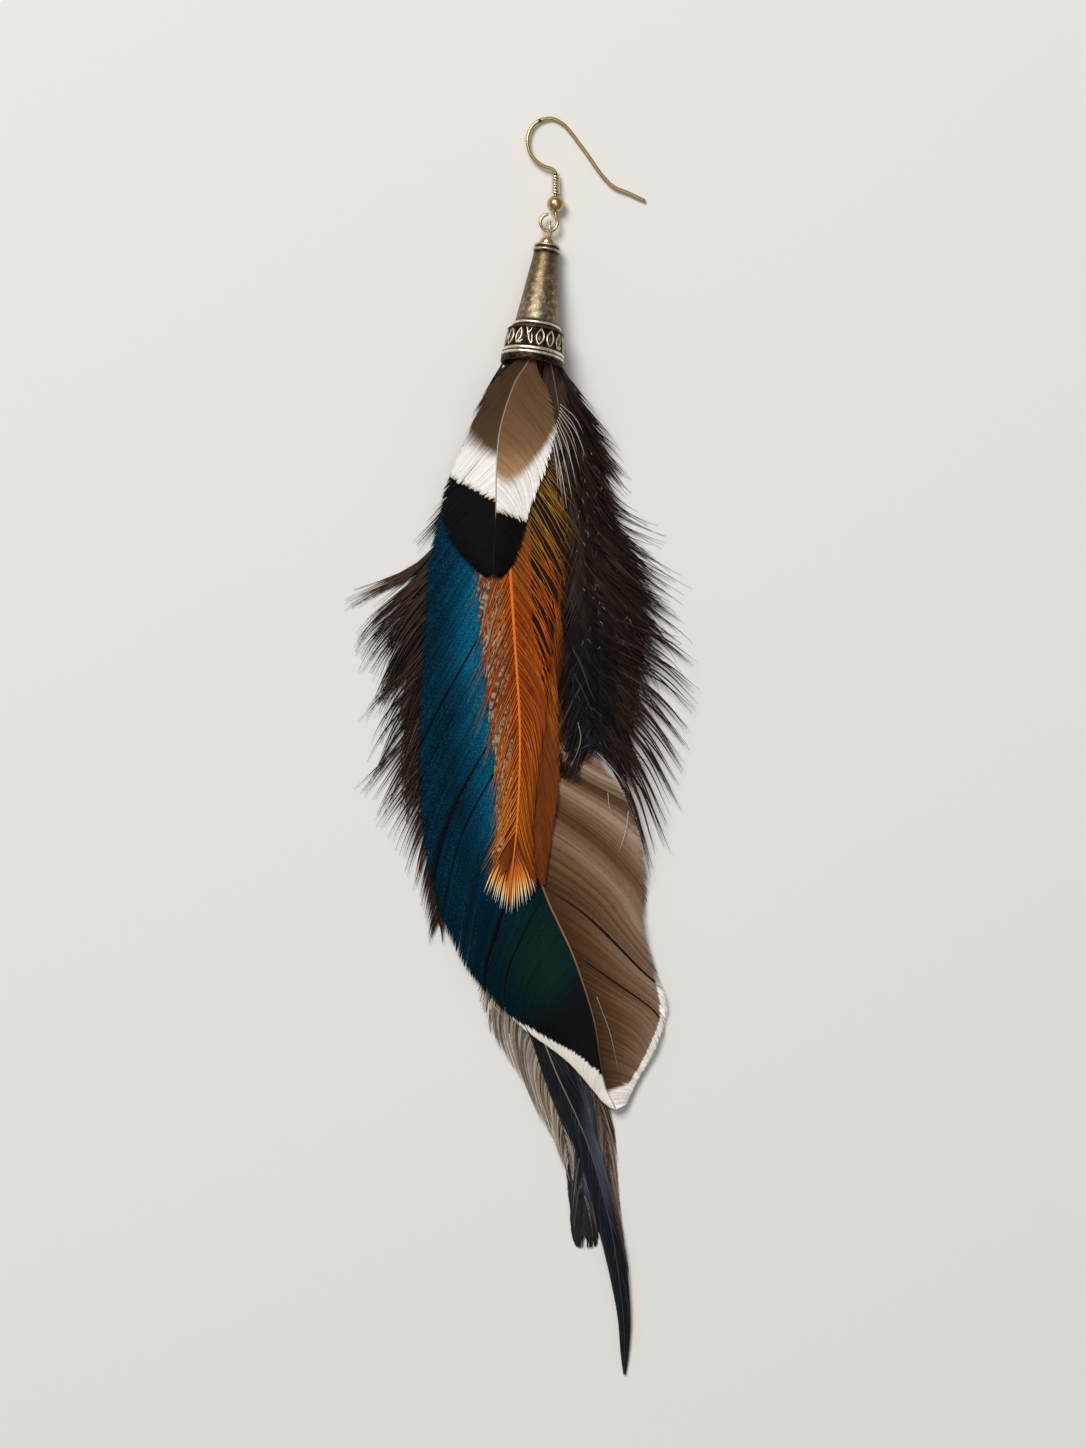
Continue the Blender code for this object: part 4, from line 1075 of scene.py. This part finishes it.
# %% Left plume
def left_plume():
    feather = Feather("left_plume_strands", 17, (
        ((-3.6, 67.0), (-3.0, 67.0), (-2.6, 67.0)),
        ((-8.8, 57.3), (-7.1, 56.4), (-5.2, 55.6)),
        ((-13.2, 45.4), (-10.8, 43.7), (-7.7, 42.0)),
        ((-20.7, 34.3), (-13.3, 32.6), (-9.8, 31.8)),
        ((-28.1, 23.0), (-14.9, 19.9), (-11.1, 18.2)),
        ((-29.0, 10.0), (-15.6, 8.0), (-12.0, 5.4)),
        ((-28.0, -4.0), (-15.7, -3.9), (-12.5, -6.5)),
        ((-27.0, -15.0), (-15.6, -15.0), (-12.8, -16.7)),
        ((-25.0, -25.0), (-15.2, -24.0), (-13.3, -24.3)),
        ((-22.0, -36.0), (-14.7, -34.5), (-14.2, -34.5)),
    ), ((0.9, 0.9, 0.9), (0, 0.5, 0.7), (0, 0.5, 0.7), (0, 0.3, 0.5)), (-3.2, -0.2), 0.1)
    end = feather.length - 5.0
    sweep = ((0, 8.0), (25, 14.0), (31, 17.0), (43, 18.0), (50, 16.0), (60, 16.0), (70, 15.0), (78, 14.0),
             (86, 11.0), (93, 8.0))
    outline = ((0, 0.9), (31, 1.0), (37, 1.04), (43, 1.0), (47, 0.82), (51, 0.78), (56, 0.86), (60, 0.88),
               (66, 0.8), (70, 0.73), (78, 0.44), (86, 0.32), (93, 0.22))
    inside = tuple((root, reach * 0.7) for root, reach in outline)
    stubs = tuple((root, reach * 0.5) for root, reach in outline)
    loose = dict(steps=14, web=1.2, widest=0.26, taper=0.5, ragged=0.08, thick=0.09, bend=0.7, uneven=0.18,
                 smooth_faces=True)
    web = dict(steps=9, web=1.35, taper=0.5, ragged=0.08, thick=0.05, bend=0.7, clump=2.2, pinch=0.3)
    feather.barbs(-1, 0.5, 24.0, 0.3, sweep, reach=0.8, clump=2.5, pinch=0.5, **loose)
    feather.barbs(-1, 22.0, 32.0, 0.4, sweep, reach=0.36, clump=2.5, pinch=0.8, **loose)
    feather.barbs(-1, 28.0, 68.0, 0.4, sweep, reach=0.42, rise=-0.1, **web)
    coarse = dict(loose, widest=0.34, taper=0.5)
    feather.barbs(-1, 30.0, 51.0, 0.28, sweep, reach=outline, clump=7.0, pinch=0.88, wave=0.3, lift=0.3,
                  **coarse)
    feather.barbs(-1, 30.0, 51.0, 0.3, sweep, reach=inside, clump=3.4, pinch=0.9, wave=0.5, rise=0.3,
                  **coarse)
    feather.barbs(-1, 50.0, 68.0, 0.62, sweep, reach=outline, clump=3.0, pinch=0.7, wave=0.2, **coarse)
    feather.barbs(-1, 50.0, 72.0, 0.7, sweep, reach=stubs, clump=2.0, pinch=0.6, rise=0.2, **loose)
    calm = dict(loose, bend=0.8, uneven=0.12, ragged=0.05, widest=0.42, taper=0.35)
    feather.barbs(-1, 64.0, end, 0.9, sweep, reach=outline, clump=1.6, pinch=0.3, **calm)
    feather.barbs(1, 2.0, end, 0.5, sweep, reach=0.9, steps=8, web=1.1, widest=0.6)
    feather.rachis(1.0, end, 0.3, 0.08, tone=0.0)
    finish = plume_finish("left_plume_strands", feather.length, (46, 30, 19), (24, 16, 11),
                          (-14.0, 15.0, 6.0, 32.0), (64, 41, 24))
    feather.build(finish, "left_plume", "dark_plume")


left_plume()

# %% [markdown]
# ## The four feathers at the bottom
# Under the speculum lie a long slate-black feather, a shorter one whose end is frayed blunt, a
# grey-brown one with pinkish loose edge barbs and a narrow brown one. They show only below the
# speculum's white border, so their hidden upper parts are laid with wider spaced barbs.

# %% Finishes of the lower feathers
def slate_finish(name, length, sheen_at, pale):
    p = VanePaint(name, length, Specular_IOR_Level=0.22)
    streak = p.streaks(2.0, 2.0, 3.0)
    base = p.blend(p.step(streak, -0.25, 0.3), (18, 18, 22), (34, 36, 43))
    # Painted sheen: a lighter slate-blue patch on the right vane.
    painted_sheen = p.spot(*sheen_at) * p.right
    base = p.blend(painted_sheen * (0.8 + streak), base, (84, 92, 106))
    base = p.blend(p.step(p.luck + streak * 0.4, 0.93, 1.0) * pale, base, (150, 132, 116))
    tip = p.step(p.along / length, 0.9, 1.0)
    base = p.blend(tip * 0.7, base, (22, 18, 17))
    hair = p.blend(p.luck, (126, 110, 100), (70, 62, 58))
    shaft = p.ramp(p.along / length, (0.0, (120, 100, 82)), (0.68, (136, 120, 102)), (0.8, (70, 70, 76)),
                   (1.0, (40, 40, 46)))
    colour = p.bands(base, (p.is_tone(STRAND), hair), (p.is_tone(RACHIS), shaft))
    return p.finish(colour, 0.42, contrast=0.35)


def striped_finish(name, length, dark, mid, pale):
    p = VanePaint(name, length, Specular_IOR_Level=0.1)
    streak = p.streaks(1.3, 1.5, 3.0)
    colour = p.ramp(streak * 0.8 + 0.5 + (p.luck - 0.5) * 1.2, (0.1, dark), (0.5, mid), (0.95, pale))
    colour = p.shade(colour, 0.65 + p.out * 0.5)
    hair = p.blend(p.luck, (176, 146, 122), (70, 56, 48))
    colour = p.bands(colour, (p.is_tone(STRAND), hair), (p.is_tone(RACHIS), (70, 60, 54)))
    return p.finish(colour, 0.55, contrast=0.45)


# %% Long dark feather and blunt dark feather
def long_dark_feather():
    feather = Feather("long_dark_vane", 18, (
        ((0.4, 66.0), (0.8, 66.0), (1.2, 66.0)),
        ((-2.0, 25.0), (-1.2, 25.0), (-0.4, 25.0)),
        ((-2.0, -9.0), (-1.2, -9.0), (-0.4, -9.0)),
        ((-1.3, -39.6), (0.4, -39.6), (2.1, -39.6)),
        ((2.1, -53.2), (4.2, -52.9), (6.9, -53.2)),
        ((5.9, -63.4), (8.9, -63.4), (11.0, -63.4)),
        ((9.3, -70.6), (11.6, -70.6), (13.3, -70.6)),
        ((12.2, -81.6), (14.5, -81.6), (16.1, -81.6)),
        ((14.0, -88.7), (15.7, -88.9), (17.3, -88.9)),
        ((15.6, -96.6), (16.7, -97.1), (17.9, -97.4)),
        ((16.2, -103.4), (16.9, -103.4), (17.6, -103.4)),
        ((16.7, -107.1), (16.9, -107.1), (17.1, -107.1)),
    ), ((1.6, 1.6, 1.6), (1.6, 1.6, 1.6), (1.6, 1.6, 1.6), (1.6, 1.6, 1.6), (1.2, 1.2, 1.2), (0, 0, 0)),
        (0.2, -1.1), 0.35)
    end = feather.length - 0.3
    sweep = ((0, 6.0), (90, 9.0), (120, 13.0), (150, 14.0), (165, 8.0), (174, 2.0))
    for side in (-1, 1):
        feather.barbs(side, 1.0, 90.0, 0.8, sweep, steps=4)
        feather.barbs(side, 90.0, end, 0.26, sweep, steps=12, taper=0.95, ragged=0.01, bend=0.55,
                      thick=0.035, tilt=0.06)
    feather.barbs(1, 136.0, 150.0, 1.4, sweep, steps=12, web=0.5, widest=0.2, reach=1.08, tone=STRAND,
                  rise=0.05, taper=0.3, ragged=0.08, inner=0.75)
    feather.rachis(1.0, end, 0.27, 0.06)
    finish = slate_finish("long_dark_vane", feather.length, (13.0, -66.0, 4.5, 22.0), 0.15)
    feather.build(finish, "long_dark_feather", "slate_vane")


def blunt_dark_feather():
    feather = Feather("blunt_dark_vane", 19, (
        ((1.0, 66.0), (1.4, 66.0), (1.8, 66.0)),
        ((0.4, 8.0), (1.1, 8.0), (1.8, 8.0)),
        ((2.0, -34.5), (3.0, -34.5), (4.0, -34.5)),
        ((4.2, -56.6), (7.4, -56.6), (12.0, -56.6)),
        ((6.8, -68.5), (9.3, -68.5), (12.4, -68.5)),
        ((7.5, -77.0), (9.9, -77.0), (12.4, -77.0)),
        ((8.1, -83.0), (10.1, -83.0), (12.3, -83.0)),
        ((8.6, -85.2), (10.1, -85.4), (11.9, -85.2)),
    ), ((0, 0, 0), (0, 0, 0)), (0.4, -3.2), 0.2)
    end = feather.length - 0.3
    for side in (-1, 1):
        feather.barbs(side, 1.0, 100.0, 0.8, 8.0, steps=4)
        for reach in (1.0, 0.62, 0.28):
            feather.barbs(side, 104.0, end - 2, 0.4, 26.0, steps=14, clump=3.6, pinch=0.45, ragged=0.06,
                          web=1.4, taper=0.94, bend=0.5, thick=0.04, uneven=0.02, reach=reach, widest=1.0)
        feather.barbs(side, 124.0, end - 12, 2.8, 20.0, steps=14, ragged=0.08, web=0.5, widest=0.22,
                      taper=0.6, bend=0.5, rise=0.08, tone=STRAND)
    feather.rachis(1.0, end - 7.0, 0.3, 0.08)
    finish = slate_finish("blunt_dark_vane", feather.length, (10.0, -70.0, 3.0, 14.0), 0.8)
    feather.build(finish, "blunt_dark_feather", "slate_vane")


long_dark_feather()
blunt_dark_feather()


# %% Grey striped feather and brown striped feather
def grey_striped_feather():
    feather = Feather("grey_striped_vane", 20, (
        ((-1.2, 66.0), (-0.8, 66.0), (-0.4, 66.0)),
        ((-4.5, 25.0), (-3.8, 25.0), (-3.0, 25.0)),
        ((-5.0, -9.0), (-3.5, -9.0), (-2.2, -9.0)),
        ((-6.9, -34.5), (-2.2, -34.5), (0.2, -34.5)),
        ((-6.6, -45.2), (0.2, -46.4), (3.4, -46.4)),
        ((-0.6, -56.8), (3.6, -57.5), (6.4, -57.5)),
        ((3.8, -64.8), (6.4, -65.1), (8.4, -65.1)),
        ((7.6, -74.0), (7.9, -74.0), (8.2, -74.0)),
    ), ((0.8, 0.8, 0.8), (0.8, 0.8, 0.8)), (-1.5, -2.2), 0.25)
    end = feather.length - 0.3
    for side in (-1, 1):
        feather.barbs(side, 1.0, 85.0, 0.8, 8.0, steps=4)
    feather.barbs(-1, 85.0, end - 3, 0.34, 24.0, steps=14, clump=1.5, pinch=0.8, ragged=0.05, taper=0.6,
                  bend=0.6, uneven=0.14, thick=0.06)
    feather.barbs(1, 85.0, end, 0.34, 20.0, steps=10, thick=0.04)
    feather.barbs(-1, 88.0, end - 6, 1.5, 26.0, steps=14, web=0.5, widest=0.3, reach=1.04, tone=STRAND,
                  rise=0.1, taper=0.5, bend=0.6, clump=1.5, pinch=0.75)
    feather.rachis(1.0, end, 0.28, 0.07)
    finish = striped_finish("grey_striped_vane", feather.length, (60, 55, 50), (122, 115, 105),
                            (186, 176, 160))
    feather.build(finish, "grey_striped_feather", "grey_vane")


def brown_striped_feather():
    feather = Feather("brown_striped_vane", 21, (
        ((2.8, 66.0), (3.1, 66.0), (3.4, 66.0)),
        ((4.8, 8.0), (5.4, 8.0), (6.0, 8.0)),
        ((7.9, -34.5), (8.8, -34.5), (9.7, -34.5)),
        ((10.6, -56.6), (11.8, -56.6), (13.5, -56.6)),
        ((12.4, -66.8), (13.7, -66.8), (15.2, -66.8)),
        ((13.3, -75.3), (14.5, -75.3), (15.7, -75.3)),
        ((14.9, -83.8), (15.7, -83.8), (16.7, -83.8)),
        ((16.9, -89.8), (17.3, -89.8), (17.6, -89.8)),
    ), ((0, 0, 0), (0, 0, 0)), (1.9, -2.2), 0.15)
    end = feather.length - 0.3
    for side in (-1, 1):
        feather.barbs(side, 1.0, 100.0, 0.8, 8.0, steps=4)
        feather.barbs(side, 100.0, end, 0.26, 16.0, steps=14, clump=1.0, pinch=0.8, ragged=0.1, web=0.9,
                      taper=0.6, bend=0.5)
    feather.rachis(1.0, end, 0.25, 0.07)
    finish = striped_finish("brown_striped_vane", feather.length, (40, 32, 27), (80, 66, 55),
                            (136, 118, 100))
    feather.build(finish, "brown_striped_feather", "brown_vane")


grey_striped_feather()
brown_striped_feather()

# %% [markdown]
# ## Metal parts
# The cap is cast and its recesses are blackened, so the raised lines and the beads are worn bright
# while the ground stays dark. One number per point, the wear and shade, drives that: relief sets it,
# and the finish turns it into colour. On the ear wire the same number also carries painted shade,
# darker where the crook touches the table and under the coil. The ear wire, its coil, the beads and
# the pin are plain yellow brass.

# %% Metal finish and turned shapes
LINE_HEIGHT = 0.2


def metal_finish(name, dark, plain, bright, roughness, mottle, scale=1.2):
    p = Paint(name, Metallic=1.0)
    wear_and_shade = p.numbers("place")[1]
    cloud = p.noise(p.vector(p.x, p.y, p.z), scale, 5.0, 0.65) - 0.5
    speck = p.noise(p.vector(p.x, p.y, p.z), scale * 5, 3.0, 0.6) - 0.5
    colour = p.ramp(wear_and_shade + (cloud + speck * 0.7) * mottle, (0.0, dark), (0.5, plain), (1.0, bright))
    rough = roughness + cloud * mottle * 0.35 - (wear_and_shade - 0.5) * 0.15
    return p.feed(Base_Color=colour, Roughness=rough, Normal=p.bump(speck, 0.12, 0.03))


def add_turned(piece, profile, steps, place_on, lines=None):
    """A closed profile of (radius, along, wear and shade) rows turned round its axis, with raised lines."""
    profile = np.array(profile, float)
    rows = len(profile)
    angle = 2 * np.pi * np.arange(steps) / steps
    radius = profile[:, 0:1] + (0 if lines is None else lines * LINE_HEIGHT)
    wear_and_shade = np.maximum(profile[:, 2:3], np.zeros((rows, steps)) if lines is None else lines)
    points = place_on(radius * np.sin(angle), radius * np.cos(angle), profile[:, 1:2] + 0 * angle)
    quads = grid_quads(rows + 1, steps) % (rows * steps)
    place = together(profile[:, 1:2], wear_and_shade, 0.5)
    uv = together(0.01 + 0.98 * np.arange(steps) / steps, 0.01 + 0.98 * np.arange(rows)[:, None] / rows)
    piece.add(points, quads, [], place, np.zeros((rows, steps, 3)), uv, True)


def bead(radius, height, reach, width, wear_and_shade, parts=9):
    """Rows of a half-round bead that stands out by reach, from its neck side down."""
    angles = np.linspace(np.pi / 2, -np.pi / 2, parts)
    return [(radius + reach * math.cos(a), height + width / 2 * math.sin(a),
             0.15 + (wear_and_shade - 0.15) * math.cos(a)) for a in angles]


# %% End cap
MOTIFS = 16
STEPS_PER_MOTIF = 32
BAND_TOP = 5.6
BAND_BOTTOM = 2.5
BAND_ROWS = 46
LINE_WIDTH = 0.145


def motif_curves(kind):
    """Lines of one motif, in shares of half its cell: leaf shapes, a curl and a forked stem."""
    t = np.linspace(0, 1, 60)
    leaf = np.sin(np.pi * t)
    if kind == 0:
        ring = [(side * 0.68 * leaf ** 0.9 + 0.1 * (1 - 2 * t), 0.9 - 1.8 * t) for side in (-1, 1)]
        heart = [(side * 0.14 * leaf, 0.15 - 0.6 * t) for side in (-1, 1)]
        return ring + heart
    if kind == 1:
        curl = (0.1 - 0.62 * np.cos(np.pi * 1.25 * t) * (1 - 0.25 * t),
                0.85 * np.cos(np.pi * 1.45 * t + 0.35))
        fork = (-0.62 + 0.95 * t, 0.9 - 0.5 * leaf)
        stem = (-0.1 + 0.35 * t, 0.4 - 1.25 * t)
        return [curl, fork, stem]
    ring = [(side * 0.52 * leaf + 0.22 * (1 - 2 * t), 0.86 - 1.7 * t) for side in (-1, 1)]
    tail = (0.1 + 0.75 * t ** 2, -0.55 - 0.3 * leaf ** 2)
    heart = [(0.05 + side * 0.14 * leaf, 0.45 - 0.9 * t) for side in (-1, 1)]
    return ring + [tail] + heart


def band_lines(heights, radius):
    """For each row and step of the band, 1 on a raised line and 0 on the ground.

    The first lines of a motif are its outline, up to a number of points, and the rest is its heart,
    which stands lower.
    """
    pitch = 2 * math.pi * radius / MOTIFS
    across = (np.arange(STEPS_PER_MOTIF) + 0.5) / STEPS_PER_MOTIF * 2 - 1
    middle = (BAND_TOP + BAND_BOTTOM) / 2
    half = (BAND_TOP - BAND_BOTTOM) / 2
    cells = []
    for kind, outline in ((0, 120), (0, 120), (2, 180), (1, 120)):
        spots = together(across * pitch / 2, heights[:, None] - middle)
        lines = np.concatenate([together(x * pitch / 2, y * half) for x, y in motif_curves(kind)])
        away = np.linalg.norm(spots[:, :, None] - lines, axis=-1)
        rim, heart = [np.exp(-(part.min(-1) / LINE_WIDTH) ** 2)
                      for part in (away[..., :outline], away[..., outline:])]
        cells.append(np.maximum(rim, heart * 0.45))
    return np.concatenate(cells * (MOTIFS // 4), axis=1)


def end_cap():
    outer = [(0.38, 21.3, 0.2), (1.7, 21.3, 0.4)]
    outer += bead(1.9, 21.0, 0.3, 0.5, 0.75)
    outer += bead(2.0, 20.2, 0.33, 0.6, 0.75)
    outer += [(2.1, 19.65, 0.02), (2.14, 19.4, 0.3)]
    cone = np.linspace(0.02, 0.98, 9)
    outer += [(2.14 + (3.72 - 2.14) * t, 19.3 - 11.9 * t, 0.42 + 0.12 * t) for t in cone]
    outer += [(3.76, 7.2, 0.25), (3.86, 7.1, 0.05)]
    outer += bead(3.92, 6.75, 0.27, 0.6, 1.0)
    outer += [(4.3, 6.25, 0.1), (4.72, 5.98, 0.1), (4.82, 5.85, 0.3), (4.8, 5.72, 0.1)]
    heights = np.linspace(BAND_TOP, BAND_BOTTOM, BAND_ROWS)
    first = len(outer)
    outer += [(4.62 + (4.93 - 4.62) * (BAND_TOP - h) / (BAND_TOP - BAND_BOTTOM), h, 0.03) for h in heights]
    outer += [(5.1, 2.42, 0.1)]
    outer += bead(5.12, 2.0, 0.18, 0.62, 1.0)
    outer += [(5.13, 1.65, 0.1)]
    outer += bead(5.2, 1.27, 0.2, 0.6, 0.9)
    outer += [(5.22, 0.9, 0.1), (5.3, 0.6, 0.05), (5.3, 0.1, 0.05), (5.2, 0.0, 0.3)]
    inner = [(4.85, 0.0, 0.2), (4.55, 0.8, 0.0), (4.3, 6.0, 0.0), (3.3, 7.6, 0.0), (1.5, 18.6, 0.0),
             (0.38, 19.6, 0.0)]
    profile = outer + inner
    steps = MOTIFS * STEPS_PER_MOTIF
    lines = np.zeros((len(profile), steps))
    lines[first:first + BAND_ROWS] = band_lines(heights, 4.8)
    piece = Piece("cast_end_cap")
    add_turned(piece, profile, steps, on_cap, lines)
    finish = metal_finish("cast_antique_brass", (22, 16, 9), (122, 104, 76), (246, 236, 212), 0.48, 0.9)
    piece.build(finish, "drop", "end_cap", "antique_brass")


end_cap()

# %% Dome bead and eye pin
DOME_TOP = 22.7
BRASS = metal_finish("yellow_brass", (50, 37, 20), (190, 158, 104), (240, 224, 184), 0.3, 0.3)


def dome_bead():
    profile = [(0.38, 22.74, 0.5)]
    profile += [(1.44 * (1 - t ** 2.5) ** 0.4, 21.4 + 1.34 * t, 0.6) for t in np.linspace(0.98, 0, 16)]
    profile += [(1.3, 21.36, 0.1), (0.38, 21.36, 0.1)]
    piece = Piece("round_dome_bead")
    add_turned(piece, profile, 64, on_cap)
    piece.build(BRASS, "drop", "dome_bead", "polished_brass")


def eye_pin():
    """A straight pin up the neck of the cap, then a loop over the dome."""
    wire, loop, above_dome = 0.25, 1.15, 0.12
    centre = DOME_TOP + above_dome + wire + loop
    angle = np.radians(-90.0 + 318.0 * np.linspace(0, 1, 60))
    along = np.concatenate(((17.6, 22.0, 22.6), centre + loop * np.sin(angle)))
    up = np.concatenate(((0.0, 0.0, 0.0), -loop * np.cos(angle)))
    piece = Piece("bright_eye_pin")
    add_tube(piece, on_cap(0 * up, up, along), wire, 16, wear_and_shade=1.0)
    piece.build(BRASS, "drop", "eye_pin", "polished_brass")


dome_bead()
eye_pin()

# %% Ear wire, coil and ball bead
PIVOT = np.array((4.0, 89.25, 1.812))
WIRE_NORMAL = np.array((0.074157, 0.080075, 0.994027))
WIRE_X = unit(np.array((WIRE_NORMAL[2], 0.0, -WIRE_NORMAL[0])))
WIRE_Y = np.cross(WIRE_NORMAL, WIRE_X)
STEM_X = 5.15
BALL_Y = 92.45
BALL_RADIUS = 1.47
EYE_RADIUS = 1.45
COIL_START = 94.25
COIL_LENGTH = 3.25
COIL_TURNS = 7
CROOK_TOP = 82
HOOK_POINTS = (
    (20.4, 93.1), (17.7, 94.4), (15.1, 95.5), (13.0, 97.6), (10.7, 100.9), (9.1, 103.1),
    (7.6, 105.1), (6.3, 106.4), (4.6, 107.2), (2.7, 106.9), (1.3, 105.9), (0.6, 104.5),
    (0.4, 103.0), (0.9, 101.1), (1.8, 99.9), (3.1, 99.0), (4.5, 98.5),
)


def on_wire(x, y, z):
    """Layout x and y, and the height above the wire's own plane, to the earring's millimetres."""
    parts = ((x - PIVOT[0], WIRE_X), (y - PIVOT[1], WIRE_Y), (z, WIRE_NORMAL))
    return PIVOT + sum(length[..., None] * axis for length, axis in parts)


def ear_wire():
    """Hook, stem and eye in one wire, with painted shade: darker at the crook's top, where it touches the
    table, and under the coil.
    """
    stem = ((STEM_X, 97.8), (STEM_X, 96.0), (STEM_X, 94.0), (STEM_X, 92.4), (STEM_X, 90.9))
    guide = curve(np.array(HOOK_POINTS + stem), np.linspace(0, 1, 190))
    angle = np.radians(35.0 - 300.0 * np.linspace(0, 1, 60))
    eye = PIVOT[:2] + EYE_RADIUS * together(np.cos(angle), np.sin(angle))
    flat = np.vstack((guide, eye))
    x, y = flat.T
    number = np.arange(len(flat))
    in_coil = (np.abs(x - STEM_X) < 0.1) & (y > 94.2) & (y < 97.7)
    # Painted shade: darker at the crook's top, which touches the table, and on the stem under the coil.
    wear_and_shade = 0.55 - 0.9 * np.exp(-((number - CROOK_TOP) / 1.0) ** 2) - 0.5 * in_coil
    radius = np.interp(number, (0, 150, 165), (0.33, 0.33, 0.29))
    piece = Piece("bent_ear_wire")
    add_tube(piece, on_wire(x, y, 0 * x), radius, 16, wear_and_shade=wear_and_shade[:, None])
    piece.build(BRASS, "hook", "ear_wire", "polished_brass")


def wire_coil():
    share = np.linspace(0, 1, COIL_TURNS * 24 + 1)
    angle = 2 * np.pi * COIL_TURNS * share
    path = on_wire(STEM_X + 0.55 * np.cos(angle), COIL_START + COIL_LENGTH * share, 0.55 * np.sin(angle))
    piece = Piece("wound_wire_coil")
    add_tube(piece, path, 0.165, 10, wear_and_shade=1.0)
    piece.build(BRASS, "hook", "wire_coil", "polished_brass")


def ball_bead():
    start = math.acos(0.38 / BALL_RADIUS)
    angles = np.linspace(start, -start, 36)
    profile = [(BALL_RADIUS * math.cos(a), BALL_RADIUS * math.sin(a), 0.55) for a in angles]
    piece = Piece("round_ball_bead")
    add_turned(piece, profile, 64, lambda x, y, h: on_wire(STEM_X + x, BALL_Y + h, y))
    piece.build(BRASS, "hook", "ball_bead", "polished_brass")


ear_wire()
wire_coil()
ball_bead()

# %% [markdown]
# ## Table, light and view
# The earring lies on a plain pale table. One large window-like light stands at the upper left, so
# the barbs show relief. A weak light overhead and a pale sky fill the shadows, but so little that
# the blackened recesses and the gaps between the strands stay dark. The gaps of the hackles and the
# split lines of the speculum are also painted dark, as painted shade.

# %% Table and lights
def table():
    """A plain pale floor just under the earring."""
    mesh = bpy.data.meshes.new("table")
    side = 1.5
    corners = [(-side, -side, 0), (side, -side, 0), (side, side, 0), (-side, side, 0)]
    mesh.from_pydata(corners, [], [(0, 1, 2, 3)])
    p = Paint("table_top", Roughness=0.9)
    p.shader.inputs["Base Color"].default_value = rgb(226, 222, 216)
    mesh.materials.append(p.material)
    made = bpy.data.objects.new("table", mesh)
    made.location.z = -0.0002
    bpy.context.scene.collection.objects.link(made)


def soft_light(name, place, size, power):
    """A square area light at a place in metres, aimed at the earring."""
    data = bpy.data.lights.new(name, "AREA")
    data.size = size
    data.energy = power
    made = bpy.data.objects.new(name, data)
    made.location = place
    direction = -made.location.normalized()
    made.rotation_euler = direction.to_track_quat("-Z", "Y").to_euler()
    bpy.context.scene.collection.objects.link(made)


table()
soft_light("window", (-0.55, 0.95, 1.45), 0.75, 29.0)
soft_light("overhead", (0.15, -0.1, 1.6), 0.9, 3.0)
world = bpy.data.worlds.new("studio")
world.use_nodes = True
sky = world.node_tree.nodes["Background"].inputs
sky["Color"].default_value = rgb(232, 236, 242)
sky["Strength"].default_value = 0.28
bpy.context.scene.world = world
bpy.context.scene.view_settings.view_transform = "Standard"
